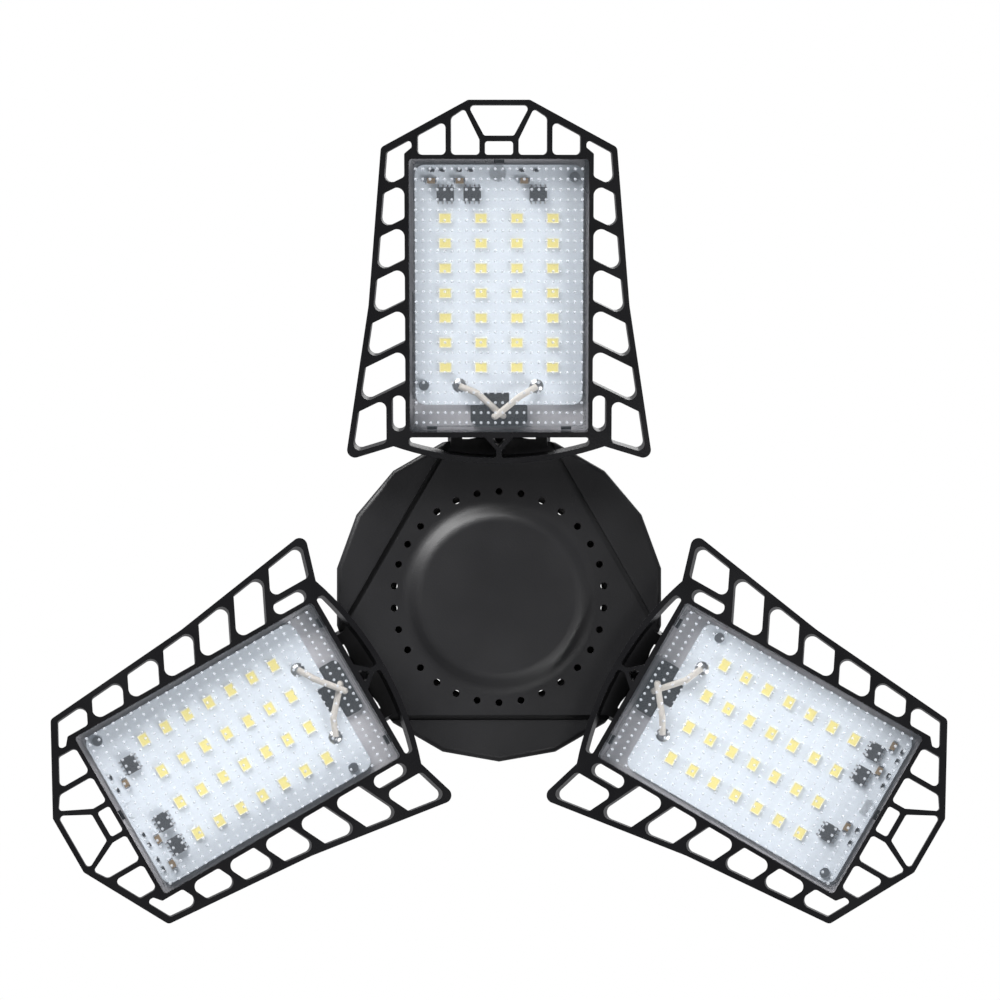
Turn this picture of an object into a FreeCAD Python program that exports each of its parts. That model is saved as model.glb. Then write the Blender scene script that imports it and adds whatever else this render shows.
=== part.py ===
import FreeCAD, Part
import math
import os

# A ceiling lamp that screws into a lampholder: a black hub with three light panels, each on a stiff hinge.
#
# The lamp is built as it lies face up on a bench: the hub's raised front face is z = 0, the light goes
# towards +Z and the screw cap points to -Z.
# hang() then turns it over, cap up, with the cap's seat at the origin.
# A panel is built round its own hinge: x along the hinge, y outwards, z towards the light.
# All sizes are in millimetres and degrees.

# Hub front cover
HUB_SIDES = 18
HUB_RADIUS = 46.9
HUB_EDGE_ROUND = 1.7
HUB_WALL = 2.2
FLANGE_DROP = 0.8
COVER_DEPTH = 8.0
PLATEAU_INRADIUS = 33.5
GROOVE_WIDTH = 1.5
GROOVE_DEPTH = 1.0
DOME_RADIUS = 28.6
DOME_TOP_RADIUS = 20.4
DOME_HEIGHT = 2.4
DOME_CROWN = 0.6
VENT_COUNT = 30
VENT_RADIUS = 1.0
VENT_RING_RADIUS = 30.0

# The three arms of the hub, which end in a fork for the hinge
ARM_COUNT = 3
ARM_HALF_WIDTH = 13.6
ARM_SIDE_DRAFT = 1.1
ARM_ROOT = 34.0
FORK_HALF_GAP = 10.5
HINGE_RADIUS = 49.5
FORK_ROOM = 4.6

# Hub rear housing
REAR_PLATE = 2.0
GAP_SILL = 1.5
BELL_RADIUS = 33.0
BELL_DEPTH = 17.0
NECK_RADIUS = 18.0
NECK_END_RADIUS = 16.4
NECK_LENGTH = 34.0
NECK_EDGE = 1.5
SPIGOT_RADIUS = 12.3
SPIGOT_LENGTH = 9.0
REAR_WALL = 2.0
REAR_VENT_COUNT = 24
REAR_VENT_WIDTH = 2.6
GRIP_COUNT = 12
GRIP_RADIUS = 1.4
COVER_SCREW_INSET = 8.4
COVER_SCREW_HEAD = (2.6, 1.6)
SCREW_HEAD_ROOM = 0.3
REAR_BOSS = 1.0
BOSS_RADIUS = 3.4

# Screw cap, medium size
CAP_RADIUS = 13.1
CAP_WALL = 0.5
CAP_THREAD_LENGTH = 19.0
CAP_TAPER_LENGTH = 3.0
CAP_END_RADIUS = 10.6
INSULATOR_LENGTH = 3.4
INSULATOR_END_RADIUS = 5.6
CONTACT_RADIUS = 4.8
CONTACT_HEIGHT = 1.6
RIVET_RADIUS = 1.2
RIVET_LENGTH = 4.0
SOLDER_REACH = 8.0

# Hinge
PIN_RADIUS = 2.0
PIN_CLEARANCE = 0.05
LUG_HALF_WIDTH = 10.0
LUG_GAP_HALF = 4.0
WASHER_RADIUS = 3.8
WASHER_SLACK = 0.03
SCREW_HEAD_RADIUS = 3.5
SCREW_HEAD_HEIGHT = 2.4
NUT_ACROSS_FLATS = 7.0
NUT_HEIGHT = 4.0
PIN_SEAT = 13.2
PIN_END = 0.8
REST_TILT = 9.0

# Panel frame: a die-cast lattice round a tray
FRAME_TOP = 17.0
FRAME_DEPTH = 10.0
RIM_HALF_WIDTH = 26.1
RIM_NEAR = -2.0
RIM_FAR = 75.7
RIM_WALL = 1.15
TRAY_CORNER = 1.0
TRAY_DEPTH = 6.5
FLOOR = 2.0
BAR = 1.55
SLOPE_BAR = 1.9
TOP_HALF_WIDTH = 8.5
OUTER_BAND = 14.9
SHOULDER_OUT = (6.4, 2.0)
WAIST_OUT = 10.1
WAIST_PLACE = 34.4
HIP_OUT = (16.9, 6.9)
NECK_OUT = (3.4, 2.8)
BOW_REACH = 7.7
OUTLINE_RADII = (1.2, 1.5, 12.0, 2.2)
LADDER_FIRST = 12.1
LADDER_PITCH = 11.35
LADDER_BARS = 6
LADDER_ANGLE = 26.0
SLOT_HALF_WIDTH = 1.9
SLOT_LENGTH = 10.0
SLOT_INSET = 1.4
RIB_HALF_WIDTH = 0.75
BOW_OPENING_INSET = 0.9
BOW_OPENING_GAP = 0.3
RIB_FOOT = (4.0, 3.6)
SMALL_OPENING = (3.9, 3.7)
OUTER_OPENING_NEAR = (4.1, 5.2)
OUTER_OPENING_FAR = (8.6, 13.5)
SLIM_OPENING_NEAR = (5.4, 4.1)
SLIM_OPENING_TIP = (3.7, 12.6)
WIDE_OPENING = (11.4, 3.6)
HEART = (2.3, 0.5, 2.7)
FIN_COUNT = 10
FIN_PITCH = 5.0
FIN_THICKNESS = 1.5
FIN_DEPTH = 4.0
FIN_START = 8.0

# Light board
BOARD_CLEARANCE = 0.25
BOARD_NEAR = 6.4
BOARD_THICKNESS = 1.2
BOARD_CORNER = 2.8
NOTCH_HALF_WIDTH = 3.6
NOTCH_CENTRE = -0.7
NOTCH_DEPTH = 3.4
LED_COLUMNS = 4
LED_ROWS = 7
LED_PITCH_X = 10.0
LED_PITCH_Y = 6.9
LED_FIRST_ROW = 16.9
LED_SIZE = (3.5, 2.8, 0.7)
CHIP_PLACES = ((-14.9, 64.9), (-7.4, 64.9), (10.9, 64.9))
CHIP_BODY = (4.9, 3.9, 1.5)
CHIP_LEG_SPAN = 5.4
CHIP_LEG_COUNT = 4
CHIP_LEG_PITCH = 1.27
CHIP_LEG = (0.42, 0.2)
CHIP_LEG_DROP = 0.6
CHIP_STANDOFF = 0.1
CAPACITOR_PLACES = ((-18.8, 68.6), (-10.9, 68.6), (7.0, 68.6))
CAPACITOR_SIZE = (3.2, 1.6, 1.1)
RESISTOR_PLACES = ((-18.6, 71.4), (-15.7, 71.4), (-11.0, 71.4), (-7.8, 71.4), (6.4, 71.4), (10.4, 71.4))
RESISTOR_SIZE = (1.6, 0.8, 0.5)
BOARD_SCREW_INSET = 2.4
BOARD_SCREW_ROWS = (11.8, 69.6)
BOARD_SCREW_RADIUS = 1.0
BOARD_SCREW_HEAD = (1.45, 0.9)
PAD_PLACES = ((-11.1, 11.8), (10.5, 11.6))
PAD_RADIUS = 2.0
PAD_HEIGHT = 0.9

# Lens
LENS_PROUD = 0.2
LENS_THICKNESS = 1.5
LENS_WALL = 1.2
LENS_CLEARANCE = 0.1
LENS_EDGE = 0.35
LENS_POST = (-0.3, 70.7, 2.4)
CLIP_SPREAD = 18.9
CLIP_INSET = 0.6
CLIP_SIZE = (2.6, 0.7)
CLIP_CLEARANCE = 0.15
CLIP_FLOOR = 0.6

# Leads and grommet
LEAD_SIDES = 12
LEAD_RADIUS = 0.9
HINGE_LEAD_RADIUS = 0.8
LEAD_SPACING = 1.2
LEAD_REST_HEIGHT = 0.15
LEAD_EXIT = 3.2
GROMMET_HALF_WIDTH = 8.0
GROMMET_TOP = 1.0
GROMMET_CORNER = 1.8
GROMMET_HOLE = (3.6, 0.9, 5.1)
GROMMET_CLEARANCE = 0.1
SPLICE_RADIUS = 2.9
SPLICE_LENGTH = 16.0
SPLICE_OFFSET = 5.5
SPLICE_TOP = 14.0

# Values that follow
COVER_SCREW_CIRCLE = HUB_RADIUS - COVER_SCREW_INSET
ARM_THICKNESS = COVER_DEPTH
HINGE_DEPTH = ARM_THICKNESS / 2
SEAT_DEPTH = COVER_DEPTH + REAR_PLATE + BELL_DEPTH + NECK_LENGTH
FRAME_BACK = FRAME_TOP - FRAME_DEPTH
FLOOR_TOP = FRAME_TOP - TRAY_DEPTH
FLOOR_BACK = FLOOR_TOP - FLOOR
BOARD_TOP = FLOOR_TOP + BOARD_THICKNESS
TRAY_HALF_WIDTH = RIM_HALF_WIDTH - RIM_WALL
TRAY_NEAR = RIM_NEAR + RIM_WALL
TRAY_FAR = RIM_FAR - RIM_WALL
TOP_EDGE = RIM_FAR + OUTER_BAND
SHOULDER = (RIM_HALF_WIDTH + SHOULDER_OUT[0], RIM_FAR + SHOULDER_OUT[1])
WAIST = (RIM_HALF_WIDTH + WAIST_OUT, WAIST_PLACE)
HIP = (RIM_HALF_WIDTH + HIP_OUT[0], RIM_NEAR - HIP_OUT[1])
NECK_CORNER = (RIM_HALF_WIDTH + NECK_OUT[0], RIM_NEAR - NECK_OUT[1])
BOW_DEPTH = BOW_REACH - RIM_NEAR
LENS_GRIP = LENS_CLEARANCE + LENS_WALL
BOARD_HALF_WIDTH = TRAY_HALF_WIDTH - LENS_GRIP - BOARD_CLEARANCE
BOARD_FAR = TRAY_FAR - LENS_GRIP - BOARD_CLEARANCE
BOARD_SCREW_X = BOARD_HALF_WIDTH - BOARD_SCREW_INSET
BOARD_SCREW_PLACES = ((-BOARD_SCREW_X, BOARD_SCREW_ROWS[0]), (BOARD_SCREW_X, BOARD_SCREW_ROWS[1]))
CLIP_NEAR = TRAY_NEAR + CLIP_INSET
CLIP_FAR = TRAY_FAR - CLIP_INSET
CLIP_PLACES = ((-CLIP_SPREAD, CLIP_NEAR), (CLIP_SPREAD, CLIP_NEAR), (0.0, CLIP_FAR))
LENS_TOP = FRAME_TOP + LENS_PROUD
LENS_INSIDE = LENS_TOP - LENS_THICKNESS
LEAD_JOINT = FLOOR_BACK + 1.2
FORK_ROOT = HINGE_RADIUS - FORK_ROOM
LEAD_LEVEL = -HINGE_DEPTH - 1.6
NEUTRAL_X = CAP_RADIUS - CAP_WALL - LEAD_RADIUS - 0.3
X_AXIS = FreeCAD.Vector(1, 0, 0)
Z_AXIS = FreeCAD.Vector(0, 0, 1)
CENTRE = FreeCAD.Vector(0, 0, 0)


def point(x, y, z=0.0):
    return FreeCAD.Vector(x, y, z)


def box(x0, x1, y0, y1, z0, z1):
    return Part.makeBox(x1 - x0, y1 - y0, z1 - z0, point(x0, y0, z0))


def rod(radius, x, y, z0, z1):
    """A round bar that stands on x, y from z0 to z1."""
    return Part.makeCylinder(radius, z1 - z0, point(x, y, z0))


def cross_rod(radius, x0, x1, y=0.0, z=0.0):
    """A round bar along x."""
    return Part.makeCylinder(radius, x1 - x0, point(x0, y, z), X_AXIS)


def polar(radius, degrees, z=0.0):
    angle = math.radians(degrees)
    return point(radius * math.cos(angle), radius * math.sin(angle), z)


def turned(shape, degrees, axis=Z_AXIS, about=CENTRE):
    copy = shape.copy()
    copy.rotate(about, axis, degrees)
    return copy


def moved(shape, x, y, z=0.0):
    copy = shape.copy()
    copy.translate(point(x, y, z))
    return copy


def mirrored(shape):
    """The same shape on the other side of x = 0."""
    return shape.mirror(CENTRE, X_AXIS)


def around(shape, count, start=0.0):
    """Copies of a shape, evenly spaced round the z axis."""
    return [turned(shape, start + index * 360.0 / count) for index in range(count)]


def fused(shapes):
    return shapes[0].multiFuse(shapes[1:]).removeSplitter()


def crossing(a, b, c, d):
    """Where the line through a and b meets the line through c and d."""
    ab = b.sub(a)
    cd = d.sub(c)
    scale = ab.x * cd.y - ab.y * cd.x
    share = ((c.x - a.x) * cd.y - (c.y - a.y) * cd.x) / scale
    return a.add(ab.multiply(share))


def inset(corners, distance):
    """The corners of a polygon whose sides have moved inwards by a distance."""
    count = len(corners)
    area = sum(a.x * b.y - b.x * a.y for a, b in zip(corners, corners[1:] + corners[:1]))
    side = distance if area > 0 else -distance
    lines = []
    for a, b in zip(corners, corners[1:] + corners[:1]):
        along = b.sub(a).normalize()
        shift = point(-along.y * side, along.x * side)
        lines.append((a.add(shift), b.add(shift)))
    return [crossing(*lines[index - 1], *lines[index]) for index in range(count)]


def rounded_wire(corners, radii, z):
    """A closed outline through the corners, each rounded with its radius, at height z."""
    edges = []
    starts = []
    ends = []
    arcs = []
    count = len(corners)
    for index, corner in enumerate(corners):
        back = corners[index - 1].sub(corner).normalize()
        ahead = corners[(index + 1) % count].sub(corner).normalize()
        half = back.getAngle(ahead) / 2
        reach = radii[index] / math.tan(half)
        middle = back.add(ahead).normalize()
        start = corner.add(point(back.x * reach, back.y * reach))
        end = corner.add(point(ahead.x * reach, ahead.y * reach))
        depth = radii[index] / math.sin(half) - radii[index]
        starts.append(start)
        ends.append(end)
        arcs.append(corner.add(point(middle.x * depth, middle.y * depth)))
    lift = point(0, 0, z)
    for index in range(count):
        start = starts[index].add(lift)
        end = ends[index].add(lift)
        following = starts[(index + 1) % count].add(lift)
        if radii[index] > 0:
            edges.append(Part.Arc(start, arcs[index].add(lift), end).toShape())
        edges.append(Part.LineSegment(end, following).toShape())
    return Part.Wire(edges)


def slab(corners, radii, z0, z1):
    """A straight-sided plate with rounded corners."""
    return Part.Face(rounded_wire(corners, radii, z0)).extrude(point(0, 0, z1 - z0))


def revolved(profile):
    """A solid of revolution from (radius, z) points, in order round the section."""
    corners = [point(radius, 0, z) for radius, z in profile]
    face = Part.Face(Part.makePolygon(corners + corners[:1]))
    return face.revolve(CENTRE, Z_AXIS, 360)


def polygon_corners(sides, radius, first_degrees):
    return [polar(radius, first_degrees + index * 360.0 / sides) for index in range(sides)]


def bent_line(points, bend):
    """A route through the points with each corner taken by two chords of its bend."""
    line = [points[0]]
    for before, corner, after in zip(points, points[1:], points[2:]):
        back = before.sub(corner).normalize()
        ahead = after.sub(corner).normalize()
        half = back.getAngle(ahead) / 2
        reach = bend / math.tan(half)
        start = corner.add(back.multiply(reach))
        end = corner.add(ahead.multiply(reach))
        middle = start.sub(corner).add(end.sub(corner)).normalize()
        line += [start, corner.add(middle.multiply(bend / math.sin(half) - bend)), end]
    return line + [points[-1]]


def tube(points, radius, bend):
    """A lead as a many-sided bar along a route, mitred at its bends."""
    line = bent_line(points, bend)
    along = line[1].sub(line[0]).normalize()
    upright = abs(along.z) > 0.9
    side = along.cross(X_AXIS if upright else Z_AXIS).normalize()
    over = along.cross(side).normalize()
    ring = []
    for index in range(LEAD_SIDES):
        turn = polar(radius, index * 360.0 / LEAD_SIDES)
        ring.append(line[0] + side * turn.x + over * turn.y)
    profile = Part.makePolygon(ring + ring[:1])
    mitred = 1
    return Part.makePolygon(line).makePipeShell([profile], True, False, mitred)


# ---------------------------------------------------------------- hub


def plateau_corners(grow=0.0):
    """The raised triangle with its three arms, as seen from the front, with its sides moved out by grow."""
    width = ARM_HALF_WIDTH + grow
    inradius = PLATEAU_INRADIUS + grow
    shoulder = 2 * inradius - width * math.sqrt(3)
    corners = []
    for arm in range(ARM_COUNT):
        outline = [
            point(width, shoulder),
            point(width, HINGE_RADIUS),
            point(-width, HINGE_RADIUS),
            point(-width, shoulder),
        ]
        for corner in outline:
            corners.append(turned(Part.Vertex(corner), arm * 360.0 / ARM_COUNT).Point)
    return corners


def arm_body():
    """One arm as a solid bar with leaning sides and a round end on the hinge axis."""
    low = ARM_HALF_WIDTH + ARM_SIDE_DRAFT
    section = [
        point(-ARM_HALF_WIDTH, ARM_ROOT, 0),
        point(ARM_HALF_WIDTH, ARM_ROOT, 0),
        point(low, ARM_ROOT, -ARM_THICKNESS),
        point(-low, ARM_ROOT, -ARM_THICKNESS),
    ]
    length = HINGE_RADIUS + HINGE_DEPTH - ARM_ROOT
    bar = Part.Face(Part.makePolygon(section + section[:1])).extrude(point(0, length, 0))
    side_view = fused(
        [
            box(-low, low, ARM_ROOT, HINGE_RADIUS, -ARM_THICKNESS, 0),
            cross_rod(HINGE_DEPTH, -low, low, HINGE_RADIUS, -HINGE_DEPTH),
        ]
    )
    return bar.common(side_view)


def arm_hollow():
    """The channel under an arm's skin that the leads lie in."""
    half = FORK_HALF_GAP - HUB_WALL / 2
    return box(-half, half, ARM_ROOT - 1.0, FORK_ROOT + 1.0, -ARM_THICKNESS - 1.0, -HUB_WALL)


def fork_gap(start=FORK_ROOT):
    """The open window at an arm's end that the hinge lugs turn in."""
    far = max(HINGE_RADIUS + HINGE_DEPTH, HUB_RADIUS) + 1.0
    return box(-FORK_HALF_GAP, FORK_HALF_GAP, start, far, -ARM_THICKNESS - REAR_PLATE - 1.0, 1.0)


def hinge_bore():
    """The screw's hole through both ears of a fork, with flat seats for its head and its nut."""
    reach = max(ARM_HALF_WIDTH + ARM_SIDE_DRAFT, PIN_SEAT + NUT_HEIGHT + PIN_END) + 1.0
    seat_radius = max(NUT_ACROSS_FLATS / math.sqrt(3), SCREW_HEAD_RADIUS) + 0.3
    hole = cross_rod(PIN_RADIUS + PIN_CLEARANCE, -reach, reach, HINGE_RADIUS, -HINGE_DEPTH)
    left = cross_rod(seat_radius, -reach, -PIN_SEAT, HINGE_RADIUS, -HINGE_DEPTH)
    right = cross_rod(seat_radius, PIN_SEAT, reach, HINGE_RADIUS, -HINGE_DEPTH)
    return [hole, left, right]


def flange():
    """The 18-sided rim of the cover, hollow behind, with a rounded front edge."""
    corners = polygon_corners(HUB_SIDES, HUB_RADIUS, 10.0)
    outside = slab(corners, [0] * HUB_SIDES, -COVER_DEPTH, -FLANGE_DROP)
    front_edges = [edge for edge in outside.Edges if edge.BoundBox.ZMin > -FLANGE_DROP - 0.01]
    outside = outside.makeFillet(HUB_EDGE_ROUND, front_edges)
    inner = polygon_corners(HUB_SIDES, HUB_RADIUS - HUB_WALL, 10.0)
    hollow = slab(inner, [0] * HUB_SIDES, -COVER_DEPTH - 1.0, -FLANGE_DROP - HUB_WALL)
    return outside, hollow


def crowned_plate():
    """A round plate with the cover's crown in its middle: an S-shaped slope up to a nearly flat top."""
    reach = HUB_RADIUS - HUB_EDGE_ROUND
    knee = point((DOME_RADIUS + DOME_TOP_RADIUS) / 2, 0, DOME_HEIGHT / 2)
    foot = point(DOME_RADIUS, 0, 0)
    brow = point(DOME_TOP_RADIUS, 0, DOME_HEIGHT)
    top = point(0, 0, DOME_HEIGHT + DOME_CROWN)
    ball = (DOME_TOP_RADIUS**2 + DOME_CROWN**2) / (2 * DOME_CROWN)
    lean = math.asin(DOME_TOP_RADIUS / ball) / 2
    halfway = point(ball * math.sin(lean), 0, top.z - ball * (1 - math.cos(lean)))
    crown = Part.Arc(brow, halfway, top).toShape()
    below = [
        top,
        point(0, 0, DOME_HEIGHT - HUB_WALL),
        point(DOME_TOP_RADIUS, 0, DOME_HEIGHT - HUB_WALL),
        point(DOME_RADIUS - 1.0, 0, -HUB_WALL),
        point(reach, 0, -HUB_WALL),
        point(reach, 0, 0),
        foot,
    ]
    edges = [s_arc(foot, knee), s_arc(brow, knee), crown]
    edges += [Part.LineSegment(a, b).toShape() for a, b in zip(below, below[1:])]
    section = Part.Wire(Part.__sortEdges__(edges))
    return Part.Face(section).revolve(CENTRE, Z_AXIS, 360)


def s_arc(flat_end, middle):
    """Half of an S curve: level at its flat end and steepest in the middle."""
    run = middle.x - flat_end.x
    rise = middle.z - flat_end.z
    radius = (run * run + rise * rise) / (2 * abs(rise))
    centre = point(flat_end.x, 0, flat_end.z + math.copysign(radius, rise))
    halfway = flat_end.add(middle).multiply(0.5).sub(centre).normalize().multiply(radius)
    return Part.Arc(flat_end, centre.add(halfway), middle).toShape()


def hub_front_cover():
    outside, hollow = flange()
    triangle = slab(plateau_corners(), [0] * 12, -COVER_DEPTH, 2 * DOME_HEIGHT)
    foot = slab(plateau_corners(GROOVE_WIDTH), [0] * 12, -FLANGE_DROP - GROOVE_DEPTH, 1.0)
    under_dome = rod(DOME_RADIUS - 1.0, 0, 0, -COVER_DEPTH, 1.0)
    ring = outside.cut([foot, hollow]).cut(under_dome)
    arms = around(arm_body(), ARM_COUNT)
    cover = ring.multiFuse([crowned_plate().common(triangle)] + arms)
    cover = cover.cut(around(arm_hollow(), ARM_COUNT)).cut(around(fork_gap(), ARM_COUNT))
    for tool in hinge_bore():
        cover = cover.cut(around(tool, ARM_COUNT))
    post = rod(BOSS_RADIUS, 0, -COVER_SCREW_CIRCLE, -COVER_DEPTH, -HUB_WALL)
    cover = cover.multiFuse(around(post, ARM_COUNT))
    vent = rod(VENT_RADIUS, 0, VENT_RING_RADIUS, -COVER_DEPTH, 1.0)
    radius = BOARD_SCREW_RADIUS + PIN_CLEARANCE
    screw_hole = rod(radius, 0, -COVER_SCREW_CIRCLE, -COVER_DEPTH - 1.0, -HUB_WALL - 0.5)
    return cover.cut(around(vent, VENT_COUNT)).cut(around(screw_hole, ARM_COUNT)).removeSplitter()


def rear_plate():
    """The flat back of the hub, outlined like the cover, with a sill a little way into each fork's gap."""
    corners = polygon_corners(HUB_SIDES, HUB_RADIUS, 10.0)
    low = -COVER_DEPTH - REAR_PLATE
    plate = slab(corners, [0] * HUB_SIDES, low, -COVER_DEPTH)
    width = ARM_HALF_WIDTH + ARM_SIDE_DRAFT
    arm = box(-width, width, 0, FORK_ROOT, low, -COVER_DEPTH)
    plate = fused([plate] + around(arm, ARM_COUNT))
    plate = plate.cut(around(fork_gap(FORK_ROOT + GAP_SILL), ARM_COUNT))
    for seat in hinge_bore()[1:]:
        plate = plate.cut(around(seat, ARM_COUNT))
    return plate


def hub_rear_housing():
    plate_back = -COVER_DEPTH - REAR_PLATE
    bell_end = plate_back - BELL_DEPTH
    cap_seat = -SEAT_DEPTH
    tip = cap_seat - SPIGOT_LENGTH
    bell_middle = (BELL_RADIUS + NECK_RADIUS) / 2
    outside = [
        (0, -COVER_DEPTH),
        (BELL_RADIUS, -COVER_DEPTH),
        (BELL_RADIUS, plate_back),
        (BELL_RADIUS - 1.5, plate_back - 4.0),
        (bell_middle, plate_back - BELL_DEPTH * 0.62),
        (NECK_RADIUS + 1.2, bell_end + 1.5),
        (NECK_RADIUS, bell_end - 1.0),
        (NECK_END_RADIUS, cap_seat + NECK_EDGE),
        (NECK_END_RADIUS - NECK_EDGE, cap_seat),
        (SPIGOT_RADIUS, cap_seat),
        (SPIGOT_RADIUS, tip),
        (0, tip),
    ]
    wall = REAR_WALL
    inside = [
        (0, 1.0 - COVER_DEPTH),
        (BELL_RADIUS - wall, 1.0 - COVER_DEPTH),
        (BELL_RADIUS - wall, plate_back),
        (BELL_RADIUS - 1.5 - wall, plate_back - 3.4),
        (bell_middle - wall, plate_back - BELL_DEPTH * 0.62 + 0.6),
        (NECK_RADIUS - wall, bell_end + 1.0),
        (NECK_END_RADIUS - wall, cap_seat + NECK_EDGE + wall),
        (SPIGOT_RADIUS - wall, cap_seat + 1.0),
        (SPIGOT_RADIUS - wall, tip - 1.0),
        (0, tip - 1.0),
    ]
    housing = fused([rear_plate(), revolved(outside)])
    boss = rod(BOSS_RADIUS + 1.0, 0, -COVER_SCREW_CIRCLE, plate_back - REAR_BOSS, -COVER_DEPTH)
    housing = fused([housing] + around(boss, ARM_COUNT))
    half = REAR_VENT_WIDTH / 2
    vent = box(-half, half, NECK_RADIUS + 3.5, BELL_RADIUS - 3.0, bell_end, plate_back - 3.0)
    vents = around(vent, REAR_VENT_COUNT, 180.0 / REAR_VENT_COUNT)
    lean = math.degrees(math.atan2(NECK_RADIUS - NECK_END_RADIUS, NECK_LENGTH))
    grip = rod(GRIP_RADIUS, 0, NECK_RADIUS + GRIP_RADIUS * 0.55, cap_seat + 5.0, bell_end - 5.0)
    grip = turned(grip, -lean, X_AXIS, point(0, NECK_RADIUS, bell_end))
    grips = around(grip, GRIP_COUNT, 15.0)
    screw_hole = rod(BOARD_SCREW_RADIUS + 0.2, 0, -COVER_SCREW_CIRCLE, plate_back - 2.0, 0)
    holes = around(screw_hole, ARM_COUNT)
    radius, height = COVER_SCREW_HEAD
    seat = plate_back - REAR_BOSS
    head_room = rod(radius + SCREW_HEAD_ROOM, 0, -COVER_SCREW_CIRCLE, seat - height - SCREW_HEAD_ROOM, seat)
    rooms = around(head_room, ARM_COUNT)
    return housing.cut([revolved(inside)] + vents + grips + holes + rooms).removeSplitter()


def cap_shell():
    """The thin metal shell, with a lump of solder inside for the neutral lead."""
    seat = -SEAT_DEPTH
    shoulder = seat - CAP_THREAD_LENGTH
    end = shoulder - CAP_TAPER_LENGTH
    wall = CAP_WALL
    shell = revolved(
        [
            (CAP_RADIUS, seat),
            (CAP_RADIUS, shoulder),
            (CAP_END_RADIUS, end),
            (CAP_END_RADIUS - 2.0, end),
            (CAP_END_RADIUS - 2.0, end + wall),
            (CAP_END_RADIUS - wall, end + wall),
            (CAP_RADIUS - wall, shoulder),
            (CAP_RADIUS - wall, seat),
        ]
    )
    top = seat - SPIGOT_LENGTH - SOLDER_REACH
    lump = rod(1.4, NEUTRAL_X, 0, shoulder, top).common(rod(CAP_RADIUS - wall / 2, 0, 0, shoulder, top))
    return shell.fuse(lump)


def cap_insulator():
    top = -SEAT_DEPTH - CAP_THREAD_LENGTH - CAP_TAPER_LENGTH
    end = top - INSULATOR_LENGTH
    throat = CAP_END_RADIUS - 2.0
    return revolved(
        [
            (RIVET_RADIUS + 0.1, top + 1.5),
            (throat + 1.0, top + 1.5),
            (throat + 1.0, top + CAP_WALL),
            (throat - 0.15, top + CAP_WALL),
            (throat - 0.15, top),
            (CAP_END_RADIUS - 0.4, top),
            (CAP_END_RADIUS - 1.0, top - 1.0),
            (INSULATOR_END_RADIUS, end),
            (RIVET_RADIUS + 0.1, end),
        ]
    )


def cap_contact():
    """The round contact at the cap's tip, with the hollow rivet that the live lead is soldered in."""
    top = -SEAT_DEPTH - CAP_THREAD_LENGTH - CAP_TAPER_LENGTH - INSULATOR_LENGTH
    end = top - CONTACT_HEIGHT
    return revolved(
        [
            (0, top + RIVET_LENGTH),
            (RIVET_RADIUS, top + RIVET_LENGTH),
            (RIVET_RADIUS, top),
            (CONTACT_RADIUS, top),
            (CONTACT_RADIUS - 0.3, top - CONTACT_HEIGHT * 0.55),
            (CONTACT_RADIUS * 0.62, end),
            (0, end),
        ]
    )


def lead_splices():
    """Two shrink sleeves, each over the joint of one mains lead with three panel leads."""
    low = -SPLICE_TOP - SPLICE_LENGTH
    return Part.makeCompound(
        [
            rod(SPLICE_RADIUS, -SPLICE_OFFSET, 0, low, -SPLICE_TOP),
            rod(SPLICE_RADIUS, SPLICE_OFFSET, 0, low, -SPLICE_TOP),
        ]
    )


def mains_leads():
    """The live lead to the cap's contact and the neutral lead to the inside of its shell."""
    low = -SPLICE_TOP - SPLICE_LENGTH
    rivet = -SEAT_DEPTH - CAP_THREAD_LENGTH - CAP_TAPER_LENGTH - INSULATOR_LENGTH + RIVET_LENGTH
    spigot_tip = -SEAT_DEPTH - SPIGOT_LENGTH
    live = [
        point(-SPLICE_OFFSET, 0, low),
        point(-SPLICE_OFFSET, 0, low - 12.0),
        point(0, 0, low - 28.0),
        point(0, 0, rivet),
    ]
    neutral = [
        point(SPLICE_OFFSET, 0, low),
        point(SPLICE_OFFSET, 0, spigot_tip + 2.0),
        point(NEUTRAL_X, 0, spigot_tip - 4.5),
        point(NEUTRAL_X, 0, spigot_tip - SOLDER_REACH),
    ]
    return Part.makeCompound([tube(live, LEAD_RADIUS, 6.0), tube(neutral, LEAD_RADIUS, 1.8)])


def lead_level(side):
    """The height of a lead in an arm: the right one of a pair runs lower, so that pairs can cross."""
    return LEAD_LEVEL - side * (HINGE_LEAD_RADIUS + LEAD_REST_HEIGHT)


def hub_leads():
    """The panels' leads, two from each fork down its arm and into the splices."""
    leads = []
    for arm in range(ARM_COUNT):
        turn = arm * 360.0 / ARM_COUNT
        spot = polar(HINGE_LEAD_RADIUS * 1.3, 90.0 + turn)
        for side in (-1, 1):
            x = side * LEAD_SPACING
            level = lead_level(side)
            mouth = turned(Part.Vertex(point(x, FORK_ROOT, level)), turn).Point
            middle = turned(Part.Vertex(point(x, ARM_ROOT, level)), turn).Point
            above = point(side * SPLICE_OFFSET + spot.x, spot.y, level)
            end = point(above.x, above.y, -SPLICE_TOP)
            leads.append(tube([mouth, middle, above, end], HINGE_LEAD_RADIUS, 2.0))
    return Part.makeCompound(leads)


def cover_screws():
    """Three screws from the back of the housing into the cover's posts."""
    radius, height = COVER_SCREW_HEAD
    seat = -COVER_DEPTH - REAR_PLATE - REAR_BOSS
    head = rod(radius, 0, -COVER_SCREW_CIRCLE, seat - height, seat)
    shank = rod(BOARD_SCREW_RADIUS, 0, -COVER_SCREW_CIRCLE, seat, -HUB_WALL - 1.5)
    return Part.makeCompound(around(head.fuse(shank), ARM_COUNT))


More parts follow.
